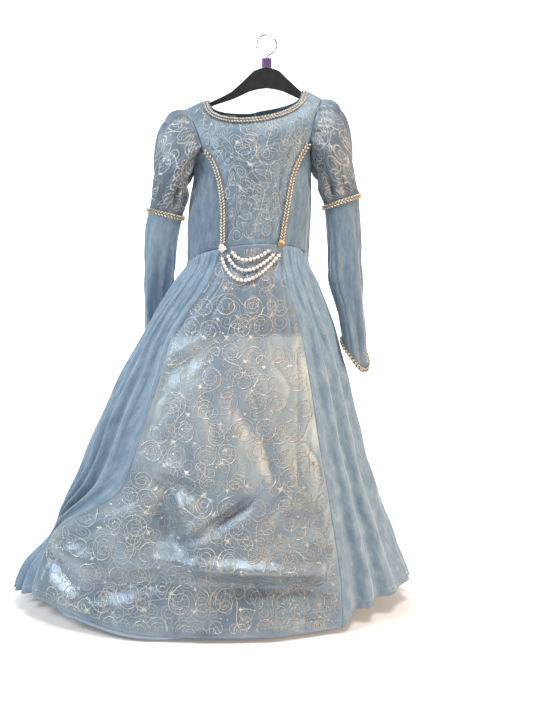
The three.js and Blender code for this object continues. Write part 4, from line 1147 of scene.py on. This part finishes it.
# Print for one panel: ribbons raised in the middle, and in the glitter print also stars of eight
# kites, tilted flakes and dots
def printPiece(name, face, turn, seed, size=1.0, margin=0.02, flatForm=None, starShare=0.9, material=glitter,
               shift=(0, 0)):
    pick = np.random.default_rng(seed)
    (left, right, top, bottom), locate = flatForm or flatPanel(face)
    stepX, stepY = (pitch * size for pitch in glitterPrint["pitch"])
    gridX, gridY = np.meshgrid(np.arange(left, right, stepX), np.arange(top + stepY / 3, bottom, stepY))
    gridX = gridX + stepX / 2 * (np.arange(len(gridX)) % 2)[:, None]
    starts = np.stack([gridX, gridY], -1).reshape(-1, 2)
    starts += pick.uniform(-0.2, 0.2, starts.shape) * (stepX, stepY)
    across, down = locate(starts[:, 0], starts[:, 1])
    starts = starts[(across > 0) & (across < 1) & (down > 0) & (down < 1)]
    points, faces = [], []

    def add(flat, out, quads):
        laid, inside = layOn(face, turn, locate, flat, out, margin)
        keep = inside.reshape(-1)[quads].all(1)
        faces.append(quads[keep] + sum(len(part) for part in points))
        points.append(laid.reshape(-1, 3))

    line, heading = scrollLines(starts, pick, size)
    square = np.stack([-np.sin(heading), np.cos(heading)], -1)[:, :, None]
    taper = np.sin(np.pi * np.linspace(0.06, 0.94, line.shape[1])) ** 0.4
    offsets = np.array([-0.5, 0, 0.5]) * glitterPrint["line"]
    flat = line[:, :, None] + square * (offsets[None, None] * taper[None, :, None])[..., None] + shift
    ridge = glitterPrint["ridge"] if material is not printShadow else glitterPrint["shadowRidge"]
    out = np.broadcast_to([glitterPrint["edge"], ridge, glitterPrint["edge"]], flat.shape[:3])
    k, j, i = np.meshgrid(np.arange(len(line)), np.arange(line.shape[1] - 1), np.arange(2), indexing="ij")
    corner = ((k * line.shape[1] + j) * 3 + i).reshape(-1, 1)
    add(flat, out, corner + ([0, 1, 4, 3] if turn > 0 else [0, 3, 4, 1]))
    if not starShare:
        return place(meshFrom(name, points[0], faces[0]), material)

    starCount = int(len(starts) * starShare)
    centres = starts[pick.choice(len(starts), starCount, replace=False)] + (stepX * 0.5, stepY * 0.42)
    centres += pick.uniform(-8, 8, centres.shape)
    ray = pick.uniform(0, 6.28, starCount)[:, None] + np.arange(8) * np.pi / 4
    reach = pick.uniform(*glitterPrint["star"], starCount)[:, None] * np.where(np.arange(8) % 2, 0.6, 1)
    along = np.stack([np.cos(ray), np.sin(ray)], -1)
    beside = np.stack([-np.sin(ray), np.cos(ray)], -1)
    kite = np.stack([0 * along, 0.3 * along * reach[..., None] + beside * 0.9, along * reach[..., None],
                     0.3 * along * reach[..., None] - beside * 0.9], 2)
    flat = centres[:, None, None] + kite
    out = np.broadcast_to([1.3, 0.4, 0.25, 0.4], flat.shape[:3])
    order = [0, 3, 2, 1] if turn > 0 else [0, 1, 2, 3]
    add(flat, out, np.arange(starCount * 8)[:, None] * 4 + order)

    beads = line[:, ::2].reshape(-1, 2)
    beads = beads + pick.normal(0, 0.6, beads.shape)
    dotCount = len(starts) * 3
    dots = starts[pick.integers(0, len(starts), dotCount)] + pick.uniform(-40, 40, (dotCount, 2))
    spots = np.concatenate([beads, dots])
    half = np.concatenate([pick.uniform(*glitterPrint["flake"], len(beads)),
                           np.full(len(dots), glitterPrint["dot"])])[:, None] / 2
    spin = pick.uniform(0, 6.28, len(spots))[:, None] + np.arange(4) * np.pi / 2
    flat = spots[:, None] + np.stack([np.cos(spin), np.sin(spin)], -1) * half[..., None]
    tilt = pick.uniform(-1, 1, (len(spots), 2)) * glitterPrint["flakeTilt"]
    rock = np.cos(spin) * tilt[:, :1] + np.sin(spin) * tilt[:, 1:]
    add(flat, 0.9 + rock * half, np.arange(len(spots))[:, None] * 4 + order)
    piece = meshFrom(name, np.concatenate(points), np.concatenate(faces), smooth=False)
    return place(piece, material)


def bodiceFromTop(u, v):  # the bodice front, with its shares counted from the neckline's other end
    return bodiceFace(1 - u, 1 - v)


skirtForm, shift = flatSkirt(), glitterPrint["shadow"]
printPiece("skirt_glitter", frontFace, -1, 101, 1.0, 0.012, skirtForm)
printPiece("skirt_print_shadow", frontFace, -1, 101, 1.0, 0.012, skirtForm, 0, printShadow, shift)
printPiece("skirt_soft_print", frontFace, -1, 111, 0.72, 0.012, skirtForm, 0, softPrint)
printPiece("bodice_glitter", bodiceFromTop, 1, 103, 1.1, 0.03, None, 1, bodiceGlitter)
printPiece("bodice_print_shadow", bodiceFromTop, 1, 103, 1.1, 0.03, None, 0, printShadow, shift)
printPiece("bodice_soft_print", bodiceFromTop, 1, 113, 0.62, 0.03, None, 0, softPrint)
for which, sign in sides.items():
    name, face = f"puff_{which}", puffFaces[which]
    printPiece(name + "_glitter", face, sign, 105 + sign, 0.66, 0.04, None, 0.6, bodiceGlitter)
    printPiece(name + "_soft_print", face, sign, 115 + sign, 0.6, 0.04, None, 0, softPrint)
print("glitter print made")

# Brooches: balls round a middle, uneven in size
brooches = {
    "left": {"x": -83, "z": -394, "count": 16, "spread": 6.4, "ball": 2.7, "slot": "pearl"},
    "right": {"x": 27, "z": -385, "count": 22, "spread": 5.6, "ball": 2.6, "slot": "gold"},
}
for which, brooch in brooches.items():
    pick = np.random.default_rng(7 if which == "left" else 11)
    turn = np.arange(brooch["count"]) * 2.39996
    reach = brooch["spread"] * np.sqrt(np.arange(brooch["count"]) / brooch["count"])
    middle = bodyPoint(angleAt(brooch["x"], brooch["z"]), brooch["z"], -3.2)
    bulge = 3.2 * (1 - (reach / (1.3 * brooch["spread"])) ** 2)
    centres = middle + np.stack([reach * np.cos(turn), -bulge, reach * np.sin(turn)], -1)
    radii = brooch["ball"] * pick.uniform(0.75, 1.1, brooch["count"])
    piece = ballPiece(f"brooch_{which}_beads", centres, radii, None, 14, 9)
    place(piece, pearlGloss if which == "left" else goldGloss, [f"brooch_{which}"])

# Label and hook tape inside the back neck
inside = {
    "neck_label": {"x": -74, "top": -140, "width": 30, "height": 16, "thick": 0.8, "slot": "label"},
    "back_tab": {"x": -22, "top": -142, "width": 12, "height": 20, "thick": 1.0, "slot": "tape"},
}
labelCloth = satinMaterial("label_cloth", {"dark": (0.6, 0.42, 0.44), "middle": (0.78, 0.62, 0.64),
                                           "pale": (0.9, 0.8, 0.8), "roughness": 0.6, "sheen": 0.1}, 0.4)
tapeCloth = satinMaterial("tape_cloth", {"dark": (0.5, 0.52, 0.5), "middle": (0.66, 0.68, 0.66),
                                         "pale": (0.8, 0.82, 0.8), "roughness": 0.8, "sheen": 0.3}, 0.8)
for name, patchOf in inside.items():
    def innerFace(u, v, patchOf=patchOf):
        z = patchOf["top"] - patchOf["height"] * v
        sign = -1 if patchOf["x"] < -22 else 1
        angle = angleAt(patchOf["x"] + patchOf["width"] * (u - 0.5), z)
        return bodyPoint(sign * np.pi - angle, z, 3.2, skirt["seamGap"] / 2)

    piece, _, _ = cloth(f"{name}_cloth", innerFace, 1, 16, 12, patchOf["thick"])
    place(piece, labelCloth if name == "neck_label" else tapeCloth, [name])
print("brooches, label and tape made")

# Hook wire: a stem, a short bend and a circle over the rail
hook = {"wire": 3.4, "bend": 17, "foot": -56.6, "top": -41, "open": (-28, 200)}
bendRadius = hook["bend"] + hook["wire"] / 2
bend = np.radians(np.linspace(*hook["open"], 60))
ring = np.stack([bendRadius * np.cos(bend), 0 * bend, bendRadius * np.sin(bend) - hook["bend"]], -1)
joint = cubic(np.array([0, 0, hook["top"]]), ring[0], np.array([0, 0, 22.0]), np.array([10.0, 0, 18.0]),
              np.linspace(0, 1, 26)[:-1, None])
stem = np.stack([np.zeros(4), np.zeros(4), np.linspace(hook["foot"], hook["top"], 5)[:-1]], -1)
wirePath = np.concatenate([stem, joint, ring])
radius = np.full(len(wirePath), hook["wire"] / 2)
radius[-3:] *= (0.97, 0.85, 0.5)
place(tubePiece("hook_wire", wirePath, radius, 20), hookSteel, ["hook"])

for node, material in {"hanger": blackPlastic, "size_marker": purplePlastic}.items():
    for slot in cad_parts[node].material_slots:
        slot.material = material
print("hanger finished")

# Stage: a pale floor that curves up behind
stage = {
    "floorZ": -1131, "wallY": 3800, "radius": 900, "wide": 5200, "front": -5200, "tall": 3400,
    "glowFrom": 500, "glowTo": 2300, "glow": (0.12, 0.95),
}
turn = np.linspace(0, np.pi / 2, 24)
profile = np.concatenate([
    [(stage["front"], stage["floorZ"])],
    np.stack([stage["wallY"] - stage["radius"] + stage["radius"] * np.sin(turn),
              stage["floorZ"] + stage["radius"] * (1 - np.cos(turn))], -1),
    [(stage["wallY"], stage["tall"])],
])
floorPoints = [(x, y, z) for y, z in profile for x in (-stage["wide"], stage["wide"])]
floor = meshFrom("floor", floorPoints, gridFaces(len(profile), 2, 1)[1])
paleFloor = glossMaterial("pale_floor", (0.86, 0.86, 0.86), (0.9, 0.9, 0.9), 0.9)
floorNodes, floorLinks = paleFloor.node_tree.nodes, paleFloor.node_tree.links
floorNodes["Principled BSDF"].inputs["Emission Color"].default_value = (1, 1, 1, 1)
floorAxes = floorNodes.new("ShaderNodeSeparateXYZ")
floorLinks.new(floorNodes["Texture Coordinate"].outputs["Object"], floorAxes.inputs["Vector"])
glow = floorNodes.new("ShaderNodeMapRange")
glow.inputs["From Min"].default_value, glow.inputs["From Max"].default_value = (
    stage["glowFrom"] * mm, stage["glowTo"] * mm)
glow.inputs["To Min"].default_value, glow.inputs["To Max"].default_value = stage["glow"]
floorLinks.new(floorAxes.outputs["Y"], glow.inputs["Value"])
floorLinks.new(glow.outputs["Result"], floorNodes["Principled BSDF"].inputs["Emission Strength"])
floor.data.materials.append(paleFloor)

# Lights: place, size in metres, power, where it points, and colour
lights = {
    "key": ((-1500, -740, 380), 0.6, 23, (-100, 0, -800), (0.97, 0.99, 1.0)),
    "fill": ((1500, -760, -600), 0.9, 23, (60, 0, -950), (1.0, 0.68, 0.42)),
    "top": ((340, -600, 830), 0.5, 19, (-60, 0, -900), (1.0, 0.97, 0.93)),
    "front": ((0, -1700, 150), 1.2, 1.5, (-20, 0, -300), (1.0, 1.0, 1.0)),
    "back": ((-300, 1300, 500), 1.6, 26, (-60, 100, -700), (1.0, 1.0, 1.0)),
}
for name, (spot, size, power, target, colour) in lights.items():
    lamp = bpy.data.objects.new(name, bpy.data.lights.new(name, "AREA"))
    bpy.context.scene.collection.objects.link(lamp)
    lamp.data.size = size
    lamp.data.energy = power
    lamp.data.color = colour
    lamp.location = Vector(spot) * mm
    lamp.rotation_euler = (Vector(target) - Vector(spot)).to_track_quat("-Z", "Y").to_euler()
world = bpy.data.worlds.new("studio")
bpy.context.scene.world = world
world.use_nodes = True
world.node_tree.nodes["Background"].inputs["Color"].default_value = (1, 1, 1, 1)
world.node_tree.nodes["Background"].inputs["Strength"].default_value = 0.2
bpy.context.scene.view_settings.view_transform = "Standard"
print("stage and lights made")
